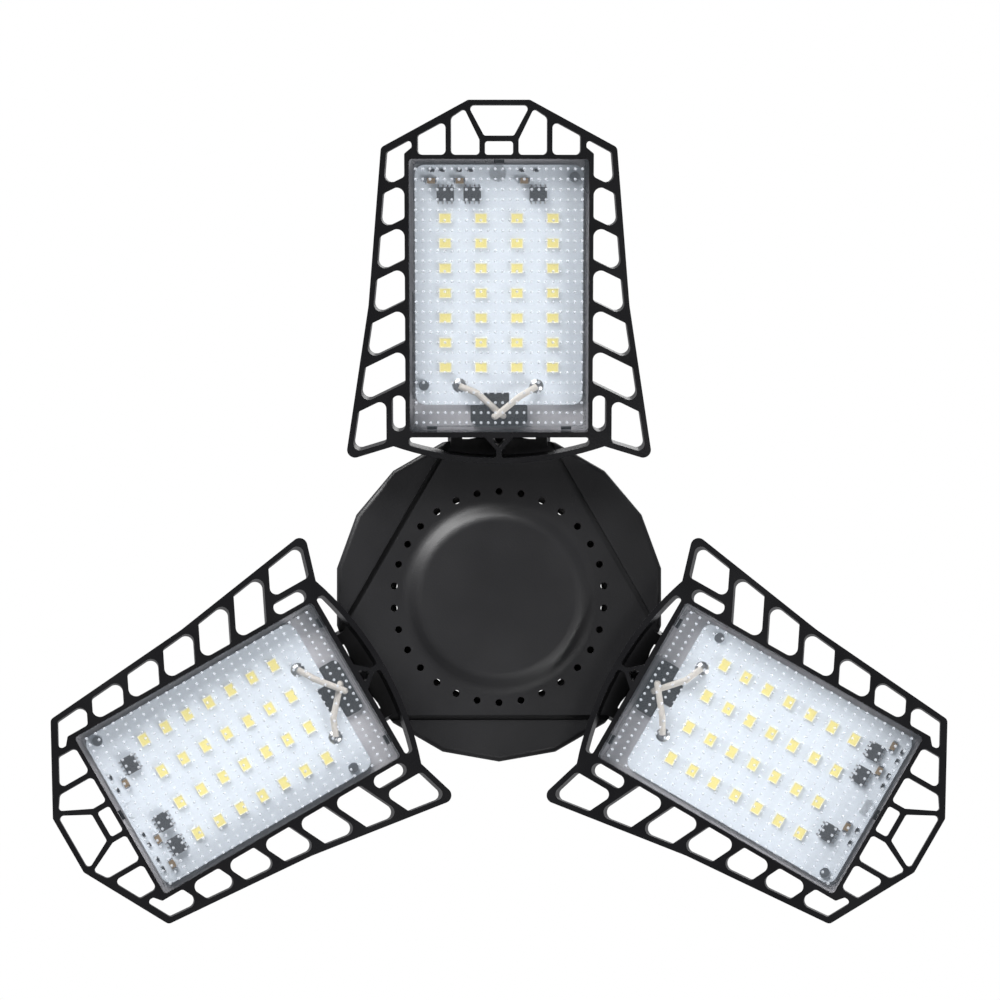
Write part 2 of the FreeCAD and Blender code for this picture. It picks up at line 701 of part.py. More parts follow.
def hinge_screws():
    """Three screws that are the hinge pins, each with a slotted head on one ear of its fork."""
    head = cross_rod(SCREW_HEAD_RADIUS, PIN_SEAT, PIN_SEAT + SCREW_HEAD_HEIGHT)
    slot = box(PIN_SEAT + 1.4, PIN_SEAT + 3.0, -SCREW_HEAD_RADIUS, SCREW_HEAD_RADIUS, -0.45, 0.45)
    pin = cross_rod(PIN_RADIUS, -PIN_SEAT - NUT_HEIGHT - PIN_END, PIN_SEAT)
    screw = moved(head.cut(slot).fuse(pin), 0, HINGE_RADIUS, -HINGE_DEPTH)
    return Part.makeCompound(around(screw, ARM_COUNT))


def hinge_nuts():
    """Three lock nuts on the other ears."""
    across_corners = NUT_ACROSS_FLATS / math.sqrt(3)
    corners = polygon_corners(6, across_corners, 0.0)
    nut = slab(corners, [0] * 6, 0, NUT_HEIGHT - 1.2)
    collar = rod(NUT_ACROSS_FLATS / 2 - 0.5, 0, 0, NUT_HEIGHT - 1.2, NUT_HEIGHT)
    nut = nut.fuse(collar).cut(rod(PIN_RADIUS + PIN_CLEARANCE / 2, 0, 0, -1.0, NUT_HEIGHT + 1.0))
    nut = turned(nut, -90, point(0, 1, 0))
    nut = moved(nut, -PIN_SEAT, HINGE_RADIUS, -HINGE_DEPTH)
    return Part.makeCompound(around(nut, ARM_COUNT))


def friction_washers():
    """Six washers that grip the lugs between the ears."""
    thickness = FORK_HALF_GAP - LUG_HALF_WIDTH - 2 * WASHER_SLACK
    inner = FORK_HALF_GAP - WASHER_SLACK - thickness
    ring = cross_rod(WASHER_RADIUS, inner, inner + thickness)
    ring = ring.cut(cross_rod(PIN_RADIUS + PIN_CLEARANCE, inner - 1.0, inner + thickness + 1.0))
    ring = moved(ring, 0, HINGE_RADIUS, -HINGE_DEPTH)
    return Part.makeCompound(around(ring, ARM_COUNT) + around(mirrored(ring), ARM_COUNT))


# ---------------------------------------------------------------- panel


def bow_radius(shift=0.0):
    """The radius of the bowed bar at the hub side of a frame, outside, less a shift."""
    sagitta = BOW_DEPTH + NECK_CORNER[1]
    return (NECK_CORNER[0] ** 2 + sagitta**2) / (2 * sagitta) - shift


def frame_outline(z, draft=0.0):
    """The outline of a frame with its bowed hub side, its sides moved in by the draft."""
    ring = [
        point(TOP_HALF_WIDTH, TOP_EDGE),
        point(*SHOULDER),
        point(*WAIST),
        point(*HIP),
        point(*NECK_CORNER),
    ]
    ring += [point(-corner.x, corner.y) for corner in reversed(ring)]
    corners = inset(ring, draft)
    radii = list(OUTLINE_RADII) + [0, 0] + list(reversed(OUTLINE_RADII))
    wire = rounded_wire(corners, radii, z)
    low = corners[4]
    bow = Part.Arc(
        point(low.x, low.y, z), point(0, -BOW_DEPTH + draft, z), point(-low.x, low.y, z)
    ).toShape()
    edges = [edge for edge in wire.Edges if not is_chord(edge, low)]
    return Part.Wire(Part.__sortEdges__(edges + [bow]))


def is_chord(edge, low):
    """Whether an edge is the straight one between the two neck corners."""
    ends = [vertex.Point for vertex in edge.Vertexes]
    return all(abs(abs(end.x) - abs(low.x)) < 0.01 and abs(end.y - low.y) < 0.01 for end in ends)


def side_x(y):
    """Half the frame's width at a distance y from the hinge."""
    upper, lower = (SHOULDER, WAIST) if y > WAIST[1] else (WAIST, HIP)
    share = (y - upper[1]) / (lower[1] - upper[1])
    return upper[0] + share * (lower[0] - upper[0])


def ladder_line(bar, shift):
    """Two points on the edge of a slanted bar on the right: bar counts from the hub, shift is +1 or -1."""
    slope = math.radians(LADDER_ANGLE)
    y = LADDER_FIRST + bar * LADDER_PITCH + shift * (BAR / 2) / math.cos(slope)
    inner = point(RIM_HALF_WIDTH, y)
    outer = point(RIM_HALF_WIDTH + 10.0, y - 10.0 * math.tan(slope))
    return inner, outer


def side_line(y_high, y_low):
    """Two points on the inner edge of the outermost bar."""
    return point(side_x(y_high) - BAR, y_high), point(side_x(y_low) - BAR, y_low)


def ladder_openings():
    """The slanted openings between neighbouring bars on the right."""
    openings = []
    for bar in range(LADDER_BARS - 1):
        low = ladder_line(bar, 1)
        high = ladder_line(bar + 1, -1)
        side = side_line(high[0].y - 4.0, low[0].y - 4.0)
        corners = [low[0], crossing(*low, *side), crossing(*high, *side), high[0]]
        openings.append((corners, [1.1, 2.1, 1.1, 2.1]))
    return openings


def corner_openings():
    """The openings at the outer corner and at the hub-side corner of the right side."""
    low = ladder_line(LADDER_BARS - 1, 1)
    side = side_line(SHOULDER[1], RIM_FAR - 5.0)
    slope_start = point(TOP_HALF_WIDTH, TOP_EDGE)
    slope_end = point(*SHOULDER)
    slope = inset([slope_start, point(0, 0), slope_end], SLOPE_BAR)
    slope = (slope[2], slope[0])
    corner_x = RIM_HALF_WIDTH - WIDE_OPENING[1] + BAR
    top_left = crossing(*slope, point(corner_x, 0), point(corner_x, 1))
    outer = (
        [
            low[0],
            crossing(*low, *side),
            crossing(*slope, *side),
            top_left,
            point(corner_x, RIM_FAR + 2.0),
            point(RIM_HALF_WIDTH, RIM_FAR + 0.3),
        ],
        [1.1, 2.0, 0.8, 1.0, 0.6, 0.6],
    )
    high = ladder_line(0, -1)
    side = side_line(high[0].y, HIP[1])
    inner_x = RIM_HALF_WIDTH + 2 * SLOT_HALF_WIDTH + BAR
    foot_slope = (point(*HIP), point(*NECK_CORNER))
    foot = inset([foot_slope[0], point(HIP[0], 50.0), foot_slope[1]], BAR)
    foot_line = (foot[0], foot[2])
    near = (
        [
            crossing(*foot_line, point(inner_x, 0), point(inner_x, 1)),
            crossing(*foot_line, *side),
            crossing(*high, *side),
            crossing(*high, point(inner_x, 0), point(inner_x, 1)),
        ],
        [1.4, 1.8, 1.1, 1.8],
    )
    return [outer, near]


def top_openings():
    """The two openings right of the middle at the outer end."""
    slope = inset([point(TOP_HALF_WIDTH, TOP_EDGE), point(0, 0), point(*SHOULDER)], SLOPE_BAR)
    slope = (slope[2], slope[0])
    left = point(RIM_HALF_WIDTH - WIDE_OPENING[0], RIM_FAR)
    right = point(RIM_HALF_WIDTH - WIDE_OPENING[1], RIM_FAR)
    up = point(0, 1)
    wide = [left, right, crossing(*slope, right, right.add(up)), crossing(*slope, left, left.add(up))]
    start = point(SLIM_OPENING_NEAR[0], RIM_FAR)
    end = point(left.x - BAR + 0.15, RIM_FAR)
    slim = [
        start,
        end,
        crossing(*slope, end, end.add(up)),
        point(end.x - SLIM_OPENING_TIP[0], RIM_FAR + SLIM_OPENING_TIP[1]),
        point(start.x, RIM_FAR + SLIM_OPENING_NEAR[1]),
    ]
    return [(wide, [1.3, 1.3, 0.9, 1.3]), (slim, [1.0, 1.3, 1.5, 0.9, 0.8])]


def middle_openings():
    """The openings on the centre line: outer end, the small one below it, and the one in the Y rib."""
    near_x, near_y = OUTER_OPENING_NEAR
    far_x, far_y = OUTER_OPENING_FAR
    outer = [
        point(-near_x, RIM_FAR + near_y),
        point(near_x, RIM_FAR + near_y),
        point(far_x, RIM_FAR + far_y),
        point(-far_x, RIM_FAR + far_y),
    ]
    half, depth = SMALL_OPENING
    small = rectangle(half, RIM_FAR, RIM_FAR + depth)
    half, top, depth = HEART
    top = RIM_NEAR - top
    heart = [point(0, top - depth), point(half, top), point(-half, top)]
    return [(outer, [0.8, 0.8, 1.0, 1.0]), (small, [0.8] * 4), (heart, [0.4, 0.5, 0.5])]


def slot_opening(z0, z1):
    """The long slot beside the tray on the right, with round ends."""
    x = RIM_HALF_WIDTH + SLOT_HALF_WIDTH
    low = RIM_NEAR + SLOT_HALF_WIDTH + SLOT_INSET
    high = low + SLOT_LENGTH - 2 * SLOT_HALF_WIDTH
    ends = [rod(SLOT_HALF_WIDTH, x, low, z0, z1), rod(SLOT_HALF_WIDTH, x, high, z0, z1)]
    return fused(ends + [box(x - SLOT_HALF_WIDTH, x + SLOT_HALF_WIDTH, low, high, z0, z1)])


def bow_opening(z0, z1):
    """The long opening right of the Y rib, between the tray and the bowed bar."""
    centre_y = bow_radius() - BOW_DEPTH
    inside = rod(bow_radius(BAR), 0, centre_y, z0, z1)
    top = RIM_NEAR - BOW_OPENING_GAP
    right = RIM_HALF_WIDTH - BOW_OPENING_INSET
    block = [
        point(RIB_HALF_WIDTH, -BOW_DEPTH),
        point(right, -BOW_DEPTH),
        point(right, top),
        point(RIB_FOOT[0], top),
        point(RIB_HALF_WIDTH, top - RIB_FOOT[1]),
    ]
    opening = slab(block, [0] * 5, z0, z1).common(inside)
    upright = [edge for edge in opening.Edges if edge.BoundBox.ZLength > z1 - z0 - 0.01]
    near_rib = [edge for edge in upright if edge.Vertexes[0].X < RIB_HALF_WIDTH + 0.01]
    opening = opening.makeFillet(0.9, near_rib)
    upright = [edge for edge in opening.Edges if edge.BoundBox.ZLength > z1 - z0 - 0.01]
    far_side = [edge for edge in upright if edge.Vertexes[0].X > right - 0.1]
    return opening.makeFillet(1.0, far_side)


def lattice():
    """The open frame, before the tray is sunk into it."""
    low = FRAME_BACK - 0.5
    high = FRAME_TOP + 0.5
    body = Part.Face(frame_outline(FRAME_BACK)).extrude(point(0, 0, FRAME_DEPTH))
    plan = ladder_openings() + corner_openings() + top_openings()
    right = [slab(corners, radii, low, high) for corners, radii in plan]
    right += [slot_opening(low, high), bow_opening(low, high)]
    middle = [slab(corners, radii, low, high) for corners, radii in middle_openings()]
    return body.cut(right + [mirrored(opening) for opening in right] + middle)


def rectangle(half_width, near, far):
    near_side = [point(-half_width, near), point(half_width, near)]
    return near_side + [point(half_width, far), point(-half_width, far)]


def tray_pocket():
    """What is cut from the frame's front for the board and the lens."""
    corners = rectangle(TRAY_HALF_WIDTH, TRAY_NEAR, TRAY_FAR)
    return slab(corners, [TRAY_CORNER] * 4, FLOOR_TOP, FRAME_TOP + 1.0)


def fins():
    """The upright cooling fins on the back of the tray."""
    first = -(FIN_COUNT - 1) * FIN_PITCH / 2
    half = FIN_THICKNESS / 2
    back = FLOOR_BACK - FIN_DEPTH
    plates = []
    for index in range(FIN_COUNT):
        x = first + index * FIN_PITCH
        plates.append(box(x - half, x + half, FIN_START, RIM_FAR - 0.5, back, FLOOR_BACK + 0.2))
    return plates


def lug(side):
    """One of the two lugs that the hinge screw goes through."""
    x0, x1 = sorted((side * LUG_GAP_HALF, side * LUG_HALF_WIDTH))
    barrel = cross_rod(HINGE_DEPTH, x0, x1)
    web = box(x0, x1, -HINGE_DEPTH * 0.7, HINGE_DEPTH, 0, FLOOR_BACK + 0.2)
    gusset_points = [
        point(x0, HINGE_DEPTH - 0.5, 0.5),
        point(x0, HINGE_DEPTH + 6.0, FLOOR_BACK + 0.2),
        point(x0, HINGE_DEPTH - 0.5, FLOOR_BACK + 0.2),
    ]
    gusset = Part.Face(Part.makePolygon(gusset_points + gusset_points[:1])).extrude(point(x1 - x0, 0, 0))
    return fused([barrel, web, gusset]).cut(cross_rod(PIN_RADIUS + PIN_CLEARANCE, x0 - 1, x1 + 1))


def clip_slots():
    """The pockets in the tray's floor for the lens's clips."""
    slots = []
    for x, y in CLIP_PLACES:
        half_x = CLIP_SIZE[0] / 2 + CLIP_CLEARANCE
        half_y = CLIP_SIZE[1] / 2 + CLIP_CLEARANCE
        low = FLOOR_BACK + CLIP_FLOOR
        slots.append(box(x - half_x, x + half_x, y - half_y, y + half_y, low, FLOOR_TOP + 1.0))
    return slots


def panel_frame():
    half_x, near, far = GROMMET_HOLE
    tray = rectangle(TRAY_HALF_WIDTH, TRAY_NEAR, TRAY_FAR)
    inside_back = slab(tray, [TRAY_CORNER] * 4, FRAME_BACK - 1.0, FLOOR_BACK)
    frame = lattice().cut([tray_pocket(), inside_back])
    frame = frame.multiFuse(fins() + [lug(-1), lug(1)])
    holes = [box(-half_x, half_x, near, far, FLOOR_BACK - 1.0, FLOOR_TOP + 1.0)] + clip_slots()
    for x, y in BOARD_SCREW_PLACES:
        holes.append(rod(BOARD_SCREW_RADIUS + PIN_CLEARANCE, x, y, FLOOR_BACK + 0.4, FLOOR_TOP + 1.0))
    return frame.cut(holes).removeSplitter()


def led_board():
    """The white light board, with a notch for the leads and two screw holes."""
    corners = rectangle(BOARD_HALF_WIDTH, BOARD_NEAR, BOARD_FAR)
    board = slab(corners, [BOARD_CORNER] * 4, FLOOR_TOP, BOARD_TOP)
    left = NOTCH_CENTRE - NOTCH_HALF_WIDTH
    right = NOTCH_CENTRE + NOTCH_HALF_WIDTH
    notch = box(left, right, BOARD_NEAR - 1.0, BOARD_NEAR + NOTCH_DEPTH, FLOOR_TOP - 1.0, BOARD_TOP + 1.0)
    cuts = [notch]
    for x, y in BOARD_SCREW_PLACES:
        cuts.append(rod(BOARD_SCREW_RADIUS + PIN_CLEARANCE, x, y, FLOOR_TOP - 1.0, BOARD_TOP + 1.0))
    return board.cut(cuts)


def on_board(size, x, y):
    """A block of a given size that lies on the board, centred on x, y."""
    width, depth, height = size
    return box(x - width / 2, x + width / 2, y - depth / 2, y + depth / 2, BOARD_TOP, BOARD_TOP + height)


def leds():
    """The light sources, four in a row and seven rows."""
    first = -(LED_COLUMNS - 1) * LED_PITCH_X / 2
    sources = []
    for row in range(LED_ROWS):
        for column in range(LED_COLUMNS):
            x = first + column * LED_PITCH_X
            y = LED_FIRST_ROW + row * LED_PITCH_Y
            sources.append(on_board(LED_SIZE, x, y))
    return Part.makeCompound(sources)


def driver_chip(x, y):
    """A small eight-legged chip: a body held just off the board by its bent legs."""
    width, depth, height = CHIP_BODY
    body = moved(on_board((width, depth, height - CHIP_STANDOFF), x, y), 0, 0, CHIP_STANDOFF)
    legs = []
    first = -(CHIP_LEG_COUNT - 1) * CHIP_LEG_PITCH / 2
    half = CHIP_LEG[0] / 2
    for index in range(CHIP_LEG_COUNT):
        leg_x = x + first + index * CHIP_LEG_PITCH
        for end in (-1, 1):
            y0, y1 = sorted((y + end * (depth / 2 - 0.1), y + end * CHIP_LEG_SPAN / 2))
            legs.append(box(leg_x - half, leg_x + half, y0, y1, BOARD_TOP, BOARD_TOP + CHIP_LEG_DROP))
    return fused([body] + legs)


def driver_chips():
    return Part.makeCompound([driver_chip(x, y) for x, y in CHIP_PLACES])


def small_parts():
    """The capacitors and resistors beside the chips."""
    parts = [on_board(CAPACITOR_SIZE, x, y) for x, y in CAPACITOR_PLACES]
    parts += [on_board(RESISTOR_SIZE, x, y) for x, y in RESISTOR_PLACES]
    return Part.makeCompound(parts)


def board_screws():
    """Two screws that press the board on the tray's floor."""
    radius, height = BOARD_SCREW_HEAD
    screws = []
    for x, y in BOARD_SCREW_PLACES:
        head = rod(radius, x, y, BOARD_TOP, BOARD_TOP + height)
        shank = rod(BOARD_SCREW_RADIUS, x, y, FLOOR_BACK + 0.6, BOARD_TOP)
        screws.append(head.fuse(shank))
    return Part.makeCompound(screws)


def solder_joints():
    """Two low domes of solder on the board's pads, each round the end of a lead."""
    radius = (PAD_RADIUS**2 + PAD_HEIGHT**2) / (2 * PAD_HEIGHT)
    keep = slab(rectangle(TRAY_HALF_WIDTH, TRAY_NEAR, TRAY_FAR), [0] * 4, BOARD_TOP, BOARD_TOP + PAD_HEIGHT)
    domes = []
    for (x, y), lead in zip(PAD_PLACES, board_lead_tubes()):
        ball = Part.makeSphere(radius, point(x, y, BOARD_TOP + PAD_HEIGHT - radius))
        domes.append(ball.common(keep).cut(lead))
    return Part.makeCompound(domes)


def lens():
    """The clear lens: a tray upside down, with a post over the board and three clips in the floor."""
    grip = LENS_CLEARANCE
    outer = rectangle(TRAY_HALF_WIDTH - grip, TRAY_NEAR + grip, TRAY_FAR - grip)
    inner = rectangle(TRAY_HALF_WIDTH - LENS_GRIP, TRAY_NEAR + LENS_GRIP, TRAY_FAR - LENS_GRIP)
    shell = slab(outer, [TRAY_CORNER] * 4, FLOOR_TOP, LENS_TOP)
    edges = [edge for edge in shell.Edges if edge.BoundBox.ZMin > LENS_TOP - 0.01]
    shell = shell.makeChamfer(LENS_EDGE, edges)
    shell = shell.cut(slab(inner, [TRAY_CORNER] * 4, FLOOR_TOP - 1.0, LENS_INSIDE))
    x, y, radius = LENS_POST
    extras = [rod(radius, x, y, BOARD_TOP, LENS_INSIDE)]
    for clip_x, clip_y in CLIP_PLACES:
        width, depth = CLIP_SIZE
        left = clip_x - width / 2
        near = clip_y - depth / 2
        low = FLOOR_BACK + CLIP_FLOOR + CLIP_CLEARANCE
        extras.append(box(left, left + width, near, near + depth, low, FLOOR_TOP + 1.0))
    return shell.multiFuse(extras).removeSplitter()


def grommet():
    """The grommet: a plate on the floor with a tongue in the board's notch, and a plug through the floor."""
    top = FLOOR_TOP + GROMMET_TOP
    far = BOARD_NEAR - GROMMET_CLEARANCE
    near = TRAY_NEAR + LENS_GRIP + GROMMET_CLEARANCE
    radii = [GROMMET_CORNER, GROMMET_CORNER, 0.6, 0.6]
    plate = slab(rectangle(GROMMET_HALF_WIDTH, near, far), radii, FLOOR_TOP, top)
    half = NOTCH_HALF_WIDTH - GROMMET_CLEARANCE
    tongue_far = BOARD_NEAR + NOTCH_DEPTH - GROMMET_CLEARANCE
    tongue = box(NOTCH_CENTRE - half, NOTCH_CENTRE + half, far - 1.0, tongue_far, FLOOR_TOP, top)
    half_x, hole_near, hole_far = GROMMET_HOLE
    grip = GROMMET_CLEARANCE
    plug = box(-half_x + grip, half_x - grip, hole_near + grip, hole_far - grip, FLOOR_BACK, FLOOR_TOP + 0.2)
    holes = board_lead_tubes()
    for x in (-LEAD_SPACING, LEAD_SPACING):
        holes.append(rod(LEAD_RADIUS, x, LEAD_EXIT, FLOOR_BACK - 1.0, LEAD_JOINT))
    return fused([plate, tongue, plug]).cut(holes)


def board_lead_tubes():
    """The two leads, from their solder joints down into the grommet, the right one over the left one."""
    start = BOARD_TOP + PAD_HEIGHT * 0.4 + LEAD_RADIUS
    under = FLOOR_TOP + GROMMET_TOP + LEAD_RADIUS + LEAD_REST_HEIGHT
    over = under + 2 * LEAD_RADIUS + LEAD_REST_HEIGHT
    left, right = PAD_PLACES
    first = [
        point(left[0], left[1], start),
        point(left[0] + 5.0, left[1] - 2.0, start + 0.4),
        point(LEAD_SPACING, LEAD_EXIT, under),
        point(LEAD_SPACING, LEAD_EXIT, LEAD_JOINT),
    ]
    second = [
        point(right[0], right[1], start),
        point(right[0] - 4.6, right[1] - 2.6, over),
        point(-LEAD_SPACING, LEAD_EXIT, over),
        point(-LEAD_SPACING, LEAD_EXIT, LEAD_JOINT),
    ]
    return [tube(first, LEAD_RADIUS, 0.95), tube(second, LEAD_RADIUS, 0.95)]


def board_leads():
    return Part.makeCompound(board_lead_tubes())


def hinge_leads():
    """The two leads across the hinge, as they lie at rest: down beside the screw and into the arm."""
    start = panel_to_bench_point(point(0, LEAD_EXIT, LEAD_JOINT))
    below = panel_to_bench_point(point(0, LEAD_EXIT, FLOOR_BACK - 2.0))
    beside = FORK_ROOT + 1.2
    leads = []
    for side in (-1, 1):
        level = lead_level(side)
        route = [start, below, point(0, beside, -2.0), point(0, beside, level), point(0, FORK_ROOT, level)]
        leads.append(moved(tube(route, HINGE_LEAD_RADIUS, 1.0), side * LEAD_SPACING, 0))
    return Part.makeCompound(leads)


# ---------------------------------------------------------------- putting together


def panel_to_bench_point(place):
    vertex = Part.Vertex(place)
    vertex.rotate(CENTRE, X_AXIS, REST_TILT)
    return vertex.Point.add(point(0, HINGE_RADIUS, -HINGE_DEPTH))


def panel_to_bench(shape):
    """From a panel's own place to the first arm, tilted towards the light as it is at rest."""
    return moved(turned(shape, REST_TILT, X_AXIS), 0, HINGE_RADIUS, -HINGE_DEPTH)


def hang(shape):
    """From the bench to the ceiling: cap up, light down, the cap's seat at the origin."""
    return moved(turned(shape, 180, X_AXIS), 0, 0, -SEAT_DEPTH)


def save(shape, name):
    for solid in shape.Solids:
        if not solid.isValid():
            print("not valid:", name)
    shape.exportStep(os.path.join("parts", name + ".step"))


HUB_PARTS = {
    "hub_front_cover": hub_front_cover,
    "hub_rear_housing": hub_rear_housing,
    "cap_shell": cap_shell,
    "cap_insulator": cap_insulator,
    "cap_contact": cap_contact,
    "lead_splices": lead_splices,
    "mains_leads": mains_leads,
    "hub_leads": hub_leads,
    "cover_screws": cover_screws,
    "hinge_screws": hinge_screws,
    "hinge_nuts": hinge_nuts,
    "friction_washers": friction_washers,
}

PANEL_PARTS = {
    "panel_frame": panel_frame,
    "led_board": led_board,
    "leds": leds,
    "driver_chips": driver_chips,
    "small_parts": small_parts,
    "board_screws": board_screws,
    "solder_joints": solder_joints,
    "lens": lens,
    "grommet": grommet,
    "board_leads": board_leads,
}


def main():
    os.makedirs("parts", exist_ok=True)
    for name, make in HUB_PARTS.items():
        save(hang(make()), name)
    panel = {name: panel_to_bench(make()) for name, make in PANEL_PARTS.items()}
    panel["hinge_leads"] = hinge_leads()
    for name, shape in panel.items():
        for index in range(ARM_COUNT):
            turn = index * 360.0 / ARM_COUNT
            save(hang(turned(shape, turn)), f"{name}_{index + 1}")


main()
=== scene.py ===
"""The looks of a screw-in ceiling lamp with three folding light panels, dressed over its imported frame.

The lamp hangs as in use: the screw cap points up and the light goes down. A panel's own pieces are made in
the panel's coordinates, x along the hinge, y outwards and z towards the light, and are then set on its arm.
Lengths are in metres unless a comment says otherwise.
"""

import logging
import math
from collections.abc import Callable, Iterator
from contextlib import contextmanager
from dataclasses import dataclass
from enum import Enum

import bpy
from mathutils import Matrix, Vector

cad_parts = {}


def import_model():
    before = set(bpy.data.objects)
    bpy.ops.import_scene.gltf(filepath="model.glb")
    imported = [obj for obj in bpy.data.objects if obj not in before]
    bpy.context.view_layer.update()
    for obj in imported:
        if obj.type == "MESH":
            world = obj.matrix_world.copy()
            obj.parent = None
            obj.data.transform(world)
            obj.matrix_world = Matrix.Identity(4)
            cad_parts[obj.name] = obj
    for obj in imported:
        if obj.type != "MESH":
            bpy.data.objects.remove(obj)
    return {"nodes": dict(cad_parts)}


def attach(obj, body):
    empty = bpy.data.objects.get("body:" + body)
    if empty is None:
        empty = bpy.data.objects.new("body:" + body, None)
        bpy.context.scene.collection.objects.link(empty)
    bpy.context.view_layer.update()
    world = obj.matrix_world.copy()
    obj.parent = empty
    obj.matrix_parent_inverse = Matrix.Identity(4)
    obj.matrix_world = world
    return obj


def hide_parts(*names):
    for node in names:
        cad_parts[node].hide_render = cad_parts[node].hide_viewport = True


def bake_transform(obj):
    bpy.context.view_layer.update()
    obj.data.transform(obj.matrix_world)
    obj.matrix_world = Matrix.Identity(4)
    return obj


MM = 0.001
LOG = logging.getLogger("lamp")
# Edges below this angle are shaded as one surface
SMOOTH_ANGLE = math.radians(40)
# How much a large face counts for the shading at its corners, in percent
LARGE_FACE_WEIGHT = 80
# CAD points closer than this are one point, and faces flatter than this are one face
MERGE_DISTANCE = 0.002 * MM
FLAT_ANGLE = math.radians(1.0)
WHITE = (1.0, 1.0, 1.0, 1.0)

Point = tuple[float, float, float]
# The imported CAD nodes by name, filled when the frame is loaded
NODES: dict[str, bpy.types.Object] = {}


class Body(Enum):
    """The rigid bodies of the lamp."""

    HUB = "hub"
    PANEL_1 = "panel_1"
    PANEL_2 = "panel_2"
    PANEL_3 = "panel_3"


# ------------------------------------------------------------------ finishes


def linear(code: str) -> tuple[float, float, float, float]:
    """Turns an sRGB colour to the linear one that shaders use.

    Args:
        code: The colour as a hex string such as "#1c1c1e".

    Returns:
        Red, green, blue and an alpha of 1.
    """
    channels = [int(code[start : start + 2], 16) / 255 for start in (1, 3, 5)]
    red, green, blue = (c / 12.92 if c <= 0.04045 else ((c + 0.055) / 1.055) ** 2.4 for c in channels)
    return (red, green, blue, 1.0)


def add_node(
    tree: bpy.types.NodeTree, kind: str, settings: dict | None = None, **links: object
) -> bpy.types.Node:
    """Adds a shader node with its settings and what feeds it.

    Args:
        tree: The node tree of a material or world.
        kind: The node's type name.
        settings: Attributes of the node, or default values of its inputs by name or index.
        links: Input names, with _ for a space, and the output sockets that feed them.

    Returns:
        The new node.
    """
    node = tree.nodes.new(kind)
    for key, value in (settings or {}).items():
        if isinstance(key, str) and hasattr(node, key):
            setattr(node, key, value)
        else:
            node.inputs[key].default_value = value
    for name, socket in links.items():
        tree.links.new(socket, node.inputs[name.replace("_", " ")])
    return node


@dataclass(frozen=True)
class Finish:
    """A surface: its colour and gloss, how both vary, and the grain that its making leaves.

    Args:
        name: The material's name.
        colour: The main colour, as sRGB hex.
        second: The colour that it varies to.
        roughness: The mean roughness.
        roughness_spread: How far the roughness goes to each side.
        metallic: 1 for bare metal, else 0.
        ior: The index of refraction, used where it isn't metal.
        patch: The size of the colour's patches in mm.
        grain: The size of the grain in mm.
        relief: The grain's height in mm.
        coat: The strength of a clear layer on top.
    """

    name: str
    colour: str
    second: str
    roughness: float
    roughness_spread: float = 0.05
    metallic: float = 0.0
    ior: float = 1.5
    patch: float = 12.0
    grain: float = 0.5
    relief: float = 0.01
    coat: float = 0.0

    def material(self) -> bpy.types.Material:
        """Returns the material, made the first time that it is asked for."""
        known = bpy.data.materials.get(self.name)
        if known:
            return known
        material = bpy.data.materials.new(self.name)
        material.use_nodes = True
        self.dress(material.node_tree)
        return material

    def dress(self, tree: bpy.types.NodeTree) -> bpy.types.Node:
        """Fills the node tree.

        Args:
            tree: The material's node tree.

        Returns:
            The main shader.
        """
        shader = tree.nodes["Principled BSDF"]
        shader.inputs["Metallic"].default_value = self.metallic
        if not self.metallic:
            shader.inputs["IOR"].default_value = self.ior
        shader.inputs["Coat Weight"].default_value = self.coat
        place = add_node(tree, "ShaderNodeTexCoord")
        patches = add_node(
            tree,
            "ShaderNodeTexNoise",
            {"Scale": 1 / (self.patch * MM), "Detail": 3.0},
            Vector=place.outputs["Object"],
        )
        mix = add_node(
            tree,
            "ShaderNodeMix",
            {"data_type": "RGBA", 6: linear(self.colour), 7: linear(self.second)},
            Factor=patches.outputs["Fac"],
        )
        tree.links.new(mix.outputs[2], shader.inputs["Base Color"])
        gloss = add_node(
            tree,
            "ShaderNodeMapRange",
            {
                "From Min": 0.3,
                "From Max": 0.7,
                "To Min": self.roughness - self.roughness_spread,
                "To Max": self.roughness + self.roughness_spread,
            },
            Value=patches.outputs["Fac"],
        )
        tree.links.new(gloss.outputs["Result"], shader.inputs["Roughness"])
        grain = add_node(
            tree,
            "ShaderNodeTexNoise",
            {"Scale": 1 / (self.grain * MM), "Detail": 2.0},
            Vector=place.outputs["Object"],
        )
        bump = add_node(
            tree,
            "ShaderNodeBump",
            {"Strength": 1.0, "Distance": self.relief * MM},
            Height=grain.outputs["Fac"],
        )
        tree.links.new(bump.outputs["Normal"], shader.inputs["Normal"])
        return shader


@dataclass(frozen=True)
class ClearFinish(Finish):
    """A clear moulding: mostly let through, with its gloss kept.

    Args:
        alpha: How much of the surface's own shade shows.
    """

    alpha: float = 0.2

    def dress(self, tree: bpy.types.NodeTree) -> bpy.types.Node:
        """Fills the node tree and lets light through it; see Finish.dress."""
        shader = super().dress(tree)
        shader.inputs["Alpha"].default_value = self.alpha
        return shader


# Spark-eroded black ABS: satin, with a fine even grain that softens the highlights
HUB_ABS = Finish(
    "black_abs_spark_eroded", "#1b1b1d", "#212123", 0.39, 0.04, ior=1.58, grain=0.45, relief=0.03, patch=25.0
)
# Black powder coat on die-cast aluminium: satin, slightly wavy like orange peel
POWDER_COAT = Finish(
    "black_powder_coat", "#111113", "#171719", 0.26, 0.04, grain=0.9, relief=0.008, patch=18.0
)
# Aluminium floor of the tray, blasted bare for contact with the board: pale, dull and blotchy with oxide
BARE_ALUMINIUM = Finish(
    "blasted_aluminium", "#e6e4e7", "#bab8bf", 0.60, 0.08, metallic=0.25, patch=5.0, relief=0.012
)
